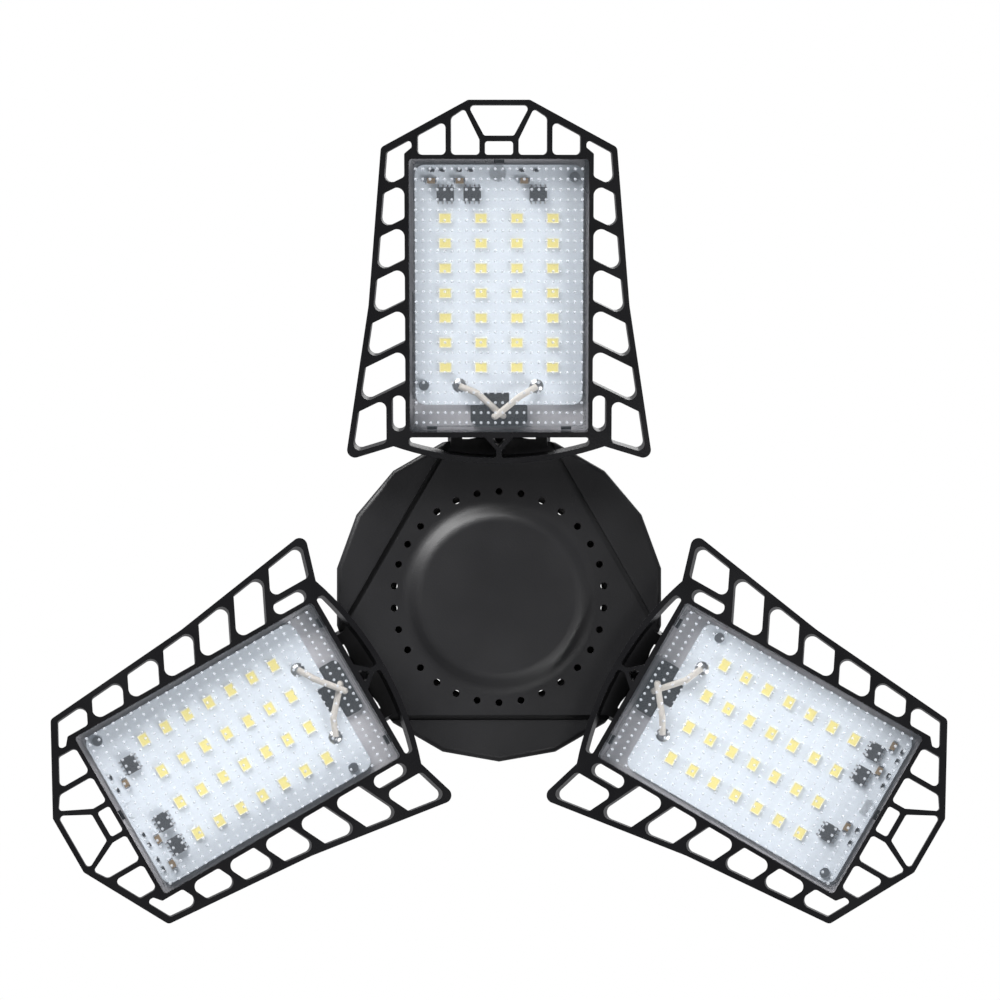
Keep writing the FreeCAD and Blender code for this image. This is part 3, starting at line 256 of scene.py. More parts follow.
# Nickel on brass, drawn and rolled: bright, slightly warm, with faint handling marks
NICKEL_PLATE = Finish(
    "nickel_plated_brass", "#d8d4cb", "#c6c1b6", 0.20, 0.07, metallic=1.0, grain=1.5, relief=0.004
)
# Black vitrite glass: hard, glossy, with slight waves from pressing
VITRITE = Finish("black_vitrite_glass", "#121214", "#18181b", 0.12, 0.04, ior=1.52, grain=2.5, relief=0.02)
# Tin solder: bright grey, domed and a little uneven
SOLDER = Finish(
    "tin_solder", "#cfd0d2", "#b5b6b9", 0.26, 0.08, metallic=1.0, grain=0.9, relief=0.03, patch=2.0
)
# Zinc-plated steel: cool grey with a faint blue cast
ZINC_STEEL = Finish(
    "zinc_plated_steel", "#aeb2b8", "#9a9ea6", 0.30, 0.06, metallic=1.0, grain=0.6, relief=0.004
)
# White solder mask over an aluminium-core board: blue-white and slightly glossy
SOLDER_MASK = Finish(
    "white_solder_mask", "#eaf1f9", "#e4ecf6", 0.40, 0.05, grain=0.6, relief=0.006, patch=9.0
)
# Yellow phosphor in silicone, in the light source's window
PHOSPHOR = Finish(
    "yellow_phosphor", "#fbee9e", "#f6e78c", 0.32, 0.05, ior=1.41, grain=0.12, relief=0.01, patch=1.0
)
# White reflector plastic round it
REFLECTOR_PLASTIC = Finish(
    "white_reflector_plastic", "#f6f1dc", "#efe9cf", 0.45, 0.04, grain=0.2, relief=0.004
)
# Black epoxy of the chips: matt, finely pitted
CHIP_EPOXY = Finish(
    "black_chip_epoxy", "#2b2c2f", "#333438", 0.58, 0.05, grain=0.15, relief=0.012, patch=2.0
)
# Tinned copper legs and end caps
TINNED_COPPER = Finish(
    "tinned_copper", "#cdcdd0", "#b9babd", 0.28, 0.06, metallic=1.0, grain=0.3, relief=0.004
)
# Fired ceramic of the capacitors: tan, smooth
CERAMIC = Finish("tan_ceramic", "#8b7556", "#7b6549", 0.40, 0.05, grain=0.2, relief=0.005, patch=1.5)
# Black glaze on the resistors
GLAZE = Finish("black_resistor_glaze", "#1b1c20", "#25262b", 0.25, 0.05, grain=0.3, relief=0.004, patch=1.0)
# Black rubber of the grommet: dull, with a soft bloom
RUBBER = Finish("black_epdm_rubber", "#1a1a1b", "#262627", 0.62, 0.06, grain=0.3, relief=0.012, patch=3.0)
# Off-white silicone insulation: soft sheen, slightly wavy along its length
SILICONE = Finish(
    "off_white_silicone", "#d5cfc8", "#c7c0b8", 0.48, 0.05, ior=1.41, grain=0.7, relief=0.01, patch=4.0
)
# Black insulation of the leads in the hub
BLACK_SILICONE = Finish(
    "black_silicone", "#1c1c1d", "#242425", 0.50, 0.05, ior=1.41, grain=0.7, relief=0.01
)
# Heat-shrink sleeve over the splices
SHRINK_SLEEVE = Finish(
    "ivory_shrink_sleeve", "#dcd8cc", "#cfcabb", 0.50, 0.06, grain=1.2, relief=0.04, patch=5.0
)
# Clear polycarbonate of the lens, polished in the mould
POLYCARBONATE = ClearFinish(
    "clear_polycarbonate", "#9fa9b3", "#a6afb8", 0.08, 0.02, ior=1.58, grain=6.0, relief=0.01, alpha=0.07
)
# The lens's tiny dimples, dull where the mould was etched, and given a pale colour as a painted highlight, so
# that they show as pale dots over dark parts
ETCHED_DIMPLE_PAINTED_HIGHLIGHT = ClearFinish(
    "etched_polycarbonate_painted_highlight", "#dfe4ea", "#d8dee5", 0.75, 0.05, ior=1.40, grain=0.2, relief=0.008, alpha=0.42
)


# ------------------------------------------------------------------ workshop


def deselect() -> None:
    """Clears the selection in object mode."""
    if bpy.context.object and bpy.context.object.mode != "OBJECT":
        bpy.ops.object.mode_set(mode="OBJECT")
    bpy.ops.object.select_all(action="DESELECT")


def activate(piece: bpy.types.Object) -> None:
    """Makes a piece the only selected object and the active one."""
    deselect()
    piece.select_set(True)
    bpy.context.view_layer.objects.active = piece


@contextmanager
def editing(piece: bpy.types.Object) -> Iterator[None]:
    """Opens a piece in edit mode with all of it selected, and closes it again."""
    activate(piece)
    bpy.ops.object.mode_set(mode="EDIT")
    bpy.ops.mesh.select_mode(type="FACE")
    bpy.ops.mesh.select_all(action="SELECT")
    yield
    bpy.ops.object.mode_set(mode="OBJECT")


def select_faces(piece: bpy.types.Object, wanted: Callable[[bpy.types.MeshPolygon], bool]) -> None:
    """Selects the faces of a piece in edit mode that a test picks.

    Args:
        piece: The piece that is being edited.
        wanted: Says for a face whether it is meant.
    """
    bpy.ops.mesh.select_all(action="DESELECT")
    bpy.ops.object.mode_set(mode="OBJECT")
    for face in piece.data.polygons:
        face.select = wanted(face)
    bpy.ops.object.mode_set(mode="EDIT")


def facing_up(level: float | None = None) -> Callable[[bpy.types.MeshPolygon], bool]:
    """Makes a test for faces that look up.

    Args:
        level: The height of the face, or None for any.

    Returns:
        The test.
    """

    def test(face: bpy.types.MeshPolygon) -> bool:
        level_fits = level is None or abs(face.center.z - level) < 0.02 * MM
        return level_fits and face.normal.z > 0.9

    return test


def block(name: str, size: Point, centre: Point) -> bpy.types.Object:
    """Adds a box-shaped start of a piece, with its place in its mesh.

    Args:
        name: The piece's name.
        size: Its length along x, y and z.
        centre: Its middle.

    Returns:
        The new piece.
    """
    deselect()
    bpy.ops.mesh.primitive_cube_add(size=1.0, location=centre, scale=size)
    piece = bpy.context.object
    piece.name = name
    bpy.ops.object.transform_apply(location=True, rotation=True, scale=True)
    return piece


def drum(name: str, radius: float, depth: float, centre: Point, sides: int = 48) -> bpy.types.Object:
    """Adds a cylinder-shaped start of a piece along z.

    Args:
        name: The piece's name.
        radius: Its radius.
        depth: Its height.
        centre: Its middle.
        sides: The number of its sides.

    Returns:
        The new piece.
    """
    deselect()
    bpy.ops.mesh.primitive_cylinder_add(vertices=sides, radius=radius, depth=depth, location=centre)
    piece = bpy.context.object
    piece.name = name
    bpy.ops.object.transform_apply(location=True, rotation=True, scale=True)
    return piece


def soften(piece: bpy.types.Object, width: float, segments: int = 2, angle: float = 35.0) -> None:
    """Rounds a piece's edges and smooths its shading.

    Args:
        piece: The piece.
        width: The width of the round.
        segments: The faces across the round.
        angle: The least angle of an edge that is rounded, in degrees.
    """
    activate(piece)
    if width > 0:
        bevel = piece.modifiers.new("round", "BEVEL")
        bevel.width = width
        bevel.segments = segments
        bevel.limit_method = "ANGLE"
        bevel.angle_limit = math.radians(angle)
        bevel.use_clamp_overlap = True
        bpy.ops.object.modifier_apply(modifier=bevel.name)
    bpy.ops.object.shade_smooth_by_angle(angle=SMOOTH_ANGLE)
    weigh = piece.modifiers.new("flat_faces", "WEIGHTED_NORMAL")
    weigh.keep_sharp = True
    weigh.weight = LARGE_FACE_WEIGHT
    bpy.ops.object.modifier_apply(modifier=weigh.name)


def repeat(piece: bpy.types.Object, count: int, step: Point) -> None:
    """Copies a piece's mesh in a row.

    Args:
        piece: The piece.
        count: How many there are in the end.
        step: From one to the next.
    """
    activate(piece)
    row = piece.modifiers.new("row", "ARRAY")
    row.count = count
    row.use_relative_offset = False
    row.use_constant_offset = True
    row.constant_offset_displace = step
    bpy.ops.object.modifier_apply(modifier=row.name)


def copies(piece: bpy.types.Object, places: list[Point]) -> bpy.types.Object:
    """Puts a copy of a piece at each place and joins them all.

    Args:
        piece: The first piece, made round the origin.
        places: Where the copies go.

    Returns:
        The joined piece.
    """
    made = []
    for place in places:
        copy = bpy.data.objects.new(piece.name, piece.data.copy())
        bpy.context.collection.objects.link(copy)
        copy.data.transform(Matrix.Translation(place))
        made.append(copy)
    name = piece.name
    bpy.data.objects.remove(piece)
    made[0].name = name
    return joined(made)


def joined(pieces: list[bpy.types.Object]) -> bpy.types.Object:
    """Joins pieces to the first one, with their materials."""
    activate(pieces[0])
    for piece in pieces[1:]:
        piece.select_set(True)
    if len(pieces) > 1:
        bpy.ops.object.join()
    return bpy.context.object


def paint(piece: bpy.types.Object, *finishes: Finish) -> None:
    """Gives a piece its finishes; its faces keep their material numbers."""
    piece.data.materials.clear()
    for finish in finishes:
        piece.data.materials.append(finish.material())


def paint_faces(
    piece: bpy.types.Object, number: int, wanted: Callable[[bpy.types.MeshPolygon], bool]
) -> None:
    """Sets the material number of the faces that a test picks."""
    for face in piece.data.polygons:
        if wanted(face):
            face.material_index = number


def lathe(name: str, around: int, along: int, surface: Callable[[float, float], Point]) -> bpy.types.Object:
    """Rolls a grid to a closed round surface.

    Args:
        name: The piece's name.
        around: The number of faces round the axis.
        along: The number of faces along the section.
        surface: The point for an angle in radians and a share of the section from 0 to 1.

    Returns:
        The new piece, its seam closed.
    """
    deselect()
    bpy.ops.mesh.primitive_grid_add(x_subdivisions=around, y_subdivisions=along, size=1.0)
    piece = bpy.context.object
    piece.name = name
    for vertex in piece.data.vertices:
        turn = (vertex.co.x + 0.5) * 2 * math.pi
        vertex.co = surface(turn, vertex.co.y + 0.5)
    with editing(piece):
        bpy.ops.mesh.remove_doubles(threshold=0.005 * MM)
        bpy.ops.mesh.normals_make_consistent(inside=False)
    return piece


def along_profile(profile: list[tuple[float, float]], share: float) -> tuple[float, float]:
    """Finds the point at a share of a profile's length.

    Args:
        profile: Its (radius, z) corners.
        share: From 0 at the start to 1 at the end.

    Returns:
        The radius and z.
    """
    lengths = [math.dist(a, b) for a, b in zip(profile, profile[1:])]
    left = share * sum(lengths)
    for (r0, z0), (r1, z1), length in zip(profile, profile[1:], lengths):
        if left <= length:
            return r0 + (r1 - r0) * left / length, z0 + (z1 - z0) * left / length
        left -= length
    return profile[-1]


def node_copy(node: str, name: str) -> bpy.types.Object:
    """Copies a CAD node's mesh, with its doubled points merged and its flat faces made whole.

    Args:
        node: The node's name.
        name: The new piece's name.

    Returns:
        The piece that stands for the node.
    """
    piece = bpy.data.objects.new(name, NODES[node].data.copy())
    bpy.context.collection.objects.link(piece)
    piece.data.materials.clear()
    with editing(piece):
        bpy.ops.mesh.remove_doubles(threshold=MERGE_DISTANCE)
        bpy.ops.mesh.customdata_custom_splitnormals_clear()
        bpy.ops.mesh.dissolve_limited(angle_limit=FLAT_ANGLE)
    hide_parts(node)
    return piece


def finish_piece(piece: bpy.types.Object, body: Body, slot: str) -> None:
    """Sets a piece on its body and reports it."""
    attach(piece, body.value)
    LOG.info("%s: %d faces on %s", piece.name, len(piece.data.polygons), body.value)


# ------------------------------------------------------------------ hub


@dataclass
class ScrewCap:
    """The medium screw cap: rolled shell, black glass insulator and centre contact."""

    crest: float = 13.1 * MM
    depth: float = 0.95 * MM
    pitch: float = 25.4 / 7 * MM
    thread_length: float = 19.0 * MM
    length: float = 22.0 * MM
    end_radius: float = 10.6 * MM
    mouth_radius: float = 8.6 * MM
    insulator_length: float = 3.4 * MM
    wall: float = 0.3 * MM
    thread_foot: float = 1.6 * MM
    thread_top_gap: float = 0.4 * MM
    fade_in: float = 2.0 * MM
    fade_out: float = 1.6 * MM
    thread_share: float = 0.8
    # Radius and height over the glass, in mm: a flat rim with a drop of solder on it
    contact_section: tuple = (
        (4.8, 0.0),
        (4.75, 0.45),
        (4.3, 0.75),
        (3.6, 0.85),
        (3.1, 1.3),
        (2.2, 1.52),
        (1.1, 1.59),
        (0.0, 1.6),
    )

    def thread_radius(self, turn: float, height: float) -> float:
        """The shell's radius on the thread.

        Args:
            turn: The angle round the axis in radians.
            height: The height above the seat.

        Returns:
            The radius, which runs out smoothly at both ends of the thread.
        """
        start = min(max((height - self.thread_foot) / self.fade_in, 0.0), 1.0)
        stop = min(max((self.thread_length - self.thread_top_gap - height) / self.fade_out, 0.0), 1.0)
        # A cosine with its crests widened a little, as rolled threads have them
        wave = (0.5 + 0.5 * math.cos(2 * math.pi * height / self.pitch - turn)) ** 0.8
        base = self.crest - self.depth
        return base + self.depth * (wave * min(start, stop) + 0.35 * (1 - min(start, stop)))

    def shell(self) -> None:
        """Makes the rolled shell, one helical thread with round crests."""
        profile = [
            (self.crest - 0.65 * self.depth, self.thread_length),
            (self.end_radius + 0.5 * MM, self.length - 0.55 * MM),
            (self.end_radius, self.length - 0.08 * MM),
            (self.end_radius - 0.35 * MM, self.length),
            (self.mouth_radius, self.length),
        ]

        def surface(turn: float, share: float) -> Point:
            if share < self.thread_share:
                height = self.thread_length * share / self.thread_share
                radius = self.thread_radius(turn, height)
            else:
                radius, height = along_profile(profile, (share - self.thread_share) / (1 - self.thread_share))
            return (radius * math.cos(turn), radius * math.sin(turn), height)

        piece = lathe("cap_shell_rolled", 120, 150, surface)
        activate(piece)
        wall = piece.modifiers.new("wall", "SOLIDIFY")
        wall.thickness = self.wall
        wall.offset = -1.0
        bpy.ops.object.modifier_apply(modifier=wall.name)
        bpy.ops.object.shade_smooth_by_angle(angle=SMOOTH_ANGLE)
        paint(piece, NICKEL_PLATE)
        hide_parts("cap_shell")
        finish_piece(piece, Body.HUB, "cap_metal")

    def insulator(self) -> None:
        """Dresses the black glass at the cap's end."""
        piece = node_copy("cap_insulator", "cap_insulator_glass")
        soften(piece, 0.25 * MM, 3)
        paint(piece, VITRITE)
        finish_piece(piece, Body.HUB, "cap_insulator")

    def contact(self) -> None:
        """Makes the centre contact: a low button with a drop of solder."""
        base = self.length + self.insulator_length
        profile = [(radius * MM, base + height * MM) for radius, height in self.contact_section]

        def surface(turn: float, share: float) -> Point:
            radius, height = along_profile(profile, share)
            return (radius * math.cos(turn), radius * math.sin(turn), height)

        piece = lathe("cap_contact_button", 64, 28, surface)
        with editing(piece):
            bpy.ops.mesh.select_mode(type="VERT")
            bpy.ops.mesh.select_all(action="DESELECT")
            bpy.ops.mesh.select_non_manifold()
            bpy.ops.mesh.edge_face_add()
            bpy.ops.mesh.select_all(action="SELECT")
            bpy.ops.mesh.normals_make_consistent(inside=False)
        soften(piece, 0.0)
        paint(piece, SOLDER)
        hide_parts("cap_contact")
        finish_piece(piece, Body.HUB, "contact_metal")

    def build(self) -> None:
        """Makes the cap's pieces."""
        self.shell()
        self.insulator()
        self.contact()


@dataclass
class Hub:
    """The moulded hub, its screws and the leads inside it."""

    edge: float = 0.35 * MM
    arms: int = 3
    cover_screw_circle: float = 38.5 * MM
    cover_screw_seat: float = -50.0 * MM
    screw_head: tuple[float, float] = (2.6 * MM, 1.6 * MM)
    head_round: float = 0.7 * MM
    recess: tuple[float, float] = (2.6 * MM, 0.62 * MM)

    def shells(self) -> None:
        """Dresses the front cover and the rear housing with soft moulded edges."""
        cover = node_copy("hub_front_cover", "hub_cover_moulding")
        soften(cover, self.edge, 3)
        paint(cover, HUB_ABS)
        finish_piece(cover, Body.HUB, "hub_plastic")
        housing = node_copy("hub_rear_housing", "hub_housing_moulding")
        soften(housing, self.edge, 2)
        paint(housing, HUB_ABS)
        finish_piece(housing, Body.HUB, "hub_plastic")

    def cover_screws(self) -> None:
        """Makes the three pan-head screws with their cross recesses."""
        radius, depth = self.screw_head
        screw = drum("cover_screw_heads", radius, depth, (0, 0, depth / 2), 36)
        with editing(screw):
            select_faces(screw, facing_up())
            bpy.ops.mesh.bevel(offset=self.head_round, segments=4)
        soften(screw, 0.0)
        for long, wide in (self.recess, self.recess[::-1]):
            cutter = block("recess", (long, wide, depth), (0, 0, depth))
            activate(screw)
            cut = screw.modifiers.new("recess", "BOOLEAN")
            cut.operation = "DIFFERENCE"
            cut.object = cutter
            bpy.ops.object.modifier_apply(modifier=cut.name)
            bpy.data.objects.remove(cutter)
        places = []
        for arm in range(self.arms):
            angle = math.radians(90 + 120 * arm)
            x = self.cover_screw_circle * math.cos(angle)
            y = self.cover_screw_circle * math.sin(angle)
            places.append((x, y, self.cover_screw_seat))
        screw = copies(screw, places)
        soften(screw, 0.0)
        paint(screw, ZINC_STEEL)
        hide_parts("cover_screws")
        finish_piece(screw, Body.HUB, "steel")

    def dressed(self, node: str, finish: Finish, slot: str, width: float) -> None:
        """Dresses a small CAD node of the hub.

        Args:
            node: Its name.
            finish: Its finish.
            slot: Not used.
            width: The width of its soft edges.
        """
        piece = node_copy(node, f"{node}_finished")
        soften(piece, width, 2)
        paint(piece, finish)
        finish_piece(piece, Body.HUB, slot)

    def build(self) -> None:
        """Makes the hub's pieces."""
        self.shells()
        self.cover_screws()
        self.dressed("hinge_screws", ZINC_STEEL, "steel", 0.25 * MM)
        self.dressed("hinge_nuts", ZINC_STEEL, "steel", 0.2 * MM)
        self.dressed("friction_washers", ZINC_STEEL, "steel", 0.08 * MM)
        self.dressed("lead_splices", SHRINK_SLEEVE, "splice", 0.9 * MM)
        self.dressed("mains_leads", BLACK_SILICONE, "mains_lead", 0.0)
        self.dressed("hub_leads", BLACK_SILICONE, "panel_lead", 0.0)


# ------------------------------------------------------------------ panel


@dataclass
class Panel:
    """One light panel: cast frame, board with its parts, lens, leads and grommet."""

    number: int
    seat_depth: float = 61.0 * MM
    hinge_radius: float = 49.5 * MM
    hinge_depth: float = 4.0 * MM
    rest_tilt: float = 9.0
    floor_top: float = 10.5 * MM
    board_top: float = 11.7 * MM
    lens_top: float = 17.2 * MM
    tray_half_width: float = 24.95 * MM
    tray_near: float = -0.85 * MM
    tray_far: float = 74.55 * MM
    led_size: Point = (3.5 * MM, 2.8 * MM, 0.7 * MM)
    led_columns: int = 4
    led_rows: int = 7
    led_pitch: tuple[float, float] = (10.0 * MM, 6.9 * MM)
    led_first_row: float = 16.9 * MM
    led_wall: float = 0.2 * MM
    led_window_depth: float = 0.12 * MM
    dimple_pitch: tuple[float, float] = (2.0 * MM, 2.8 * MM)
    dimple_radius: float = 0.42 * MM
    dimple_flatness: float = 0.3
    dimple_depth: float = 0.19 * MM
    dimple_margin: float = 3.4 * MM
    # The parts' places on the board, x and y in mm
    chip_places: tuple = ((-14.9, 64.9), (-7.4, 64.9), (10.9, 64.9))
    capacitor_places: tuple = ((-18.8, 68.6), (-10.9, 68.6), (7.0, 68.6))
    resistor_places: tuple = (
        (-18.6, 71.4),
        (-15.7, 71.4),
        (-11.0, 71.4),
        (-7.8, 71.4),
        (6.4, 71.4),
        (10.4, 71.4),
    )
    chip_size: Point = (4.9 * MM, 3.9 * MM, 1.35 * MM)
    chip_lift: float = 0.1 * MM
    leg_size: Point = (0.42 * MM, 0.5 * MM, 0.18 * MM)
    leg_reach: float = 2.45 * MM
    leg_pitch: float = 1.27 * MM
    capacitor_size: Point = (3.2 * MM, 1.6 * MM, 1.1 * MM)
    resistor_size: Point = (1.6 * MM, 0.8 * MM, 0.5 * MM)
    lead_radius: float = 0.8 * MM
    lead_spacing: float = 1.2 * MM
    lead_row: float = 3.2 * MM
    # How high the leads run in the arm, and how far above and below that each of the two lies, in mm
    lead_level: float = -1.6
    lead_stagger: float = 0.95

    @property
    def body(self) -> Body:
        """The body that the panel's pieces ride on."""
        return Body[f"PANEL_{self.number}"]

    @property
    def place(self) -> Matrix:
        """From the panel's own coordinates to the lamp's, at rest."""
        hang = Matrix.Translation((0, 0, -self.seat_depth)) @ Matrix.Rotation(math.pi, 4, "X")
        turn = Matrix.Rotation(math.radians(120 * (self.number - 1)), 4, "Z")
        hinge = Matrix.Translation((0, self.hinge_radius, -self.hinge_depth))
        return hang @ turn @ hinge @ Matrix.Rotation(math.radians(self.rest_tilt), 4, "X")

    def set_down(self, piece: bpy.types.Object, slot: str) -> None:
        """Moves a piece made in the panel's coordinates to its place and sets it on the body."""
        piece.data.transform(self.place)
        piece.data.update()
        finish_piece(piece, self.body, slot)

    def local_copy(self, node: str) -> bpy.types.Object:
        """Copies a CAD node of this panel into the panel's own coordinates."""
        piece = node_copy(f"{node}_{self.number}", f"{node}_{self.number}_finished")
        piece.data.transform(self.place.inverted())
        piece.data.update()
        return piece

    def frame(self) -> None:
        """Dresses the cast frame: round lips on every bar, and the tray's bare floor."""
        piece = self.local_copy("panel_frame")
        soften(piece, 0.32 * MM, 3)
        paint(piece, POWDER_COAT, BARE_ALUMINIUM)
        paint_faces(piece, 1, self.is_floor)
        self.set_down(piece, "frame_metal")

    def is_floor(self, face: bpy.types.MeshPolygon) -> bool:
        """Whether a face belongs to the tray's floor, in the panel's coordinates."""
        inside = abs(face.center.x) < self.tray_half_width and self.tray_near < face.center.y < self.tray_far
        return inside and abs(face.center.z - self.floor_top) < 0.1 * MM and face.normal.z > 0.5

    def board(self) -> None:
        """Dresses the board."""
        piece = self.local_copy("led_board")
        soften(piece, 0.08 * MM, 1)
        paint(piece, SOLDER_MASK)
        self.set_down(piece, "board")

    def leds(self) -> None:
        """Makes the light sources: a white package with a sunk yellow window."""
        high = self.led_size[2]
        left = -(self.led_columns - 1) * self.led_pitch[0] / 2
        place = (left, self.led_first_row, self.board_top + high / 2)
        piece = block(f"leds_{self.number}_packages", self.led_size, place)
        with editing(piece):
            select_faces(piece, facing_up())
            bpy.ops.mesh.inset(thickness=self.led_wall)
            bpy.ops.mesh.extrude_region_move(TRANSFORM_OT_translate={"value": (0, 0, -self.led_window_depth)})
            bpy.ops.transform.resize(value=(0.95, 0.95, 1.0))
        paint(piece, REFLECTOR_PLASTIC, PHOSPHOR)
        window = self.board_top + high - self.led_window_depth
        paint_faces(piece, 1, facing_up(window))
        soften(piece, 0.06 * MM, 2)
        repeat(piece, self.led_columns, (self.led_pitch[0], 0, 0))
        repeat(piece, self.led_rows, (0, self.led_pitch[1], 0))
        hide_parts(f"leds_{self.number}")
        self.set_down(piece, "led")

    def chips(self) -> None:
        """Makes the eight-legged chips: tapered bodies with gull-wing legs and a mark at the first leg."""
        middle = self.board_top + self.chip_lift + self.chip_size[2] / 2
        body = block("chip_body", self.chip_size, (0, 0, middle))
        with editing(body):
            select_faces(body, facing_up())
            bpy.ops.transform.resize(value=(0.93, 0.91, 1.0))
        soften(body, 0.12 * MM, 2)
        paint(body, CHIP_EPOXY)
        mark = drum("chip_mark", 0.3 * MM, 0.06 * MM, (-1.7 * MM, -1.2 * MM, self.board_top + 1.46 * MM), 20)
        paint(mark, CHIP_EPOXY)
        leg = block("chip_leg", self.leg_size, (0, self.leg_reach, self.board_top + self.leg_size[2] / 2))
        with editing(leg):
            select_faces(leg, lambda face: face.normal.y < -0.9)
            bpy.ops.mesh.extrude_region_move(TRANSFORM_OT_translate={"value": (0, -0.2 * MM, 0.42 * MM)})
            bpy.ops.mesh.extrude_region_move(TRANSFORM_OT_translate={"value": (0, -0.4 * MM, 0.0)})
        soften(leg, 0.05 * MM, 2, 25.0)
        paint(leg, TINNED_COPPER)
        activate(leg)
        leg.data.transform(Matrix.Translation((-1.5 * self.leg_pitch, 0, 0)))
        repeat(leg, 4, (self.leg_pitch, 0, 0))
        other = bpy.data.objects.new("chip_legs", leg.data.copy())
        bpy.context.collection.objects.link(other)
        other.data.transform(Matrix.Rotation(math.pi, 4, "Z"))
        chip = joined([body, mark, leg, other])
        chip.name = f"driver_chips_{self.number}_so8"
        chip = copies(chip, [(x * MM, y * MM, 0) for x, y in self.chip_places])
        chip.name = f"driver_chips_{self.number}_legged"
        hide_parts(f"driver_chips_{self.number}")
        self.set_down(chip, "chip")

    def two_ended(self, name: str, size: Point, cap: float, finish: Finish) -> bpy.types.Object:
        """Makes a surface-mount part with metal ends.

        Args:
            name: The piece's name.
            size: Its length, width and height.
            cap: The length of each metal end.
            finish: The finish of its middle.

        Returns:
            The part, centred on the board at the origin.
        """
        length, width, height = size
        centre = (0, 0, self.board_top + height * 0.47)
        middle = block(name, (length - 2 * cap, width * 0.96, height * 0.94), centre)
        soften(middle, 0.05 * MM, 1)
        paint(middle, finish)
        ends = []
        for side in (-1, 1):
            centre = (side * (length - cap) / 2, 0, self.board_top + height / 2)
            end = block("end", (cap, width, height), centre)
            soften(end, 0.09 * MM, 2)
            paint(end, TINNED_COPPER)
            ends.append(end)
        return joined([middle] + ends)

    def small_parts(self) -> None:
        """Makes the capacitors and resistors by the chips."""
        capacitor = self.two_ended("capacitors", self.capacitor_size, 0.5 * MM, CERAMIC)
        capacitor = copies(capacitor, [(x * MM, y * MM, 0) for x, y in self.capacitor_places])
        resistor = self.two_ended("resistors", self.resistor_size, 0.3 * MM, GLAZE)
        resistor = copies(resistor, [(x * MM, y * MM, 0) for x, y in self.resistor_places])
        piece = joined([capacitor, resistor])
        piece.name = f"small_parts_{self.number}_soldered"
        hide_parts(f"small_parts_{self.number}")
        self.set_down(piece, "small_part")

    def lens(self) -> None:
        """Dresses the clear lens and puts its rows of dimples on it."""
        piece = self.local_copy("lens")
        soften(piece, 0.0)
        paint(piece, POLYCARBONATE)
        self.set_down(piece, "lens")
        step_x, step_y = self.dimple_pitch
        across = int((2 * self.tray_half_width - self.dimple_margin) / step_x) + 1
        along = int((self.tray_far - self.tray_near - self.dimple_margin) / step_y) + 1
        left = -(across - 1) * step_x / 2
        near = (self.tray_far + self.tray_near) / 2 - (along - 1) * step_y / 2
        deselect()
        bpy.ops.mesh.primitive_uv_sphere_add(segments=10, ring_count=6, radius=self.dimple_radius)
        dimple = bpy.context.object
        dimple.name = f"lens_{self.number}_dimples"
        with editing(dimple):
            bpy.ops.mesh.bisect(plane_co=(0, 0, 0), plane_no=(0, 0, 1), clear_inner=True, use_fill=True)
        with editing(dimple):
            bpy.ops.transform.resize(value=(1.0, 1.0, self.dimple_flatness))
        dimple.data.transform(Matrix.Translation((left, near, self.lens_top - self.dimple_depth)))
        bpy.ops.object.shade_smooth_by_angle(angle=math.radians(60))
        # The dimples' pale colour is a painted highlight
        paint(dimple, ETCHED_DIMPLE_PAINTED_HIGHLIGHT)
        repeat(dimple, across, (step_x, 0, 0))
        repeat(dimple, along, (0, step_y, 0))
        self.set_down(dimple, "lens")

    def fixings(self) -> None:
        """Dresses the board's screws, solder joints, grommet and leads."""
        for node, finish, slot, width in (
            ("board_screws", ZINC_STEEL, "steel", 0.3 * MM),
            ("solder_joints", SOLDER, "solder", 0.0),
            ("grommet", RUBBER, "grommet", 0.25 * MM),
            ("board_leads", SILICONE, "white_lead", 0.0),
        ):
            piece = self.local_copy(node)
            soften(piece, width, 2)
            paint(piece, finish)
            self.set_down(piece, slot)

    def hinge_leads(self) -> None:
        """Makes the two leads that run round the hinge, from the grommet beside the screw into the arm."""
        own = self.place
        hub = own @ Matrix.Rotation(math.radians(-self.rest_tilt), 4, "X")
        leads = []
        for side in (-1, 1):
            x = side * self.lead_spacing
            level = self.lead_level - side * self.lead_stagger
            # From the grommet straight down in the panel, then round the pin and into the arm, in mm
            in_arm = ((-2.0, 4.6), (-3.4, 2.0), (-3.4, level + 1.0), (-3.5, level + 0.2), (-4.6, level))
            route = [own @ Vector((x, self.lead_row, height * MM)) for height in (9.7, 7.2, 6.4)]
            route += [hub @ Vector((x, y * MM, z * MM)) for y, z in in_arm]
            curve = bpy.data.curves.new(f"hinge_leads_{self.number}_bending", "CURVE")
            curve.dimensions = "3D"
            curve.bevel_depth = self.lead_radius
            curve.bevel_resolution = 4
            curve.use_fill_caps = True
            line = curve.splines.new("NURBS")
            line.points.add(len(route) - 1)
            for place, spot in zip(route, line.points):
                spot.co = (*place, 1.0)
            line.order_u = 3
            line.use_endpoint_u = True
            line.resolution_u = 8
            lead = bpy.data.objects.new(curve.name, curve)
            bpy.context.collection.objects.link(lead)
            activate(lead)
            bpy.ops.object.convert(target="MESH")
            leads.append(bpy.context.object)
        piece = joined(leads)
        soften(piece, 0.0)
        paint(piece, BLACK_SILICONE)
        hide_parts(f"hinge_leads_{self.number}")
        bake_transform(piece)
        LOG.info("%s bends from the hub to %s", piece.name, self.body.value)

    def build(self) -> None:
        """Makes the panel's pieces."""
        self.frame()
        self.board()
        self.leds()
        self.chips()
        self.small_parts()
        self.lens()
        self.fixings()
        self.hinge_leads()


# ------------------------------------------------------------------ studio


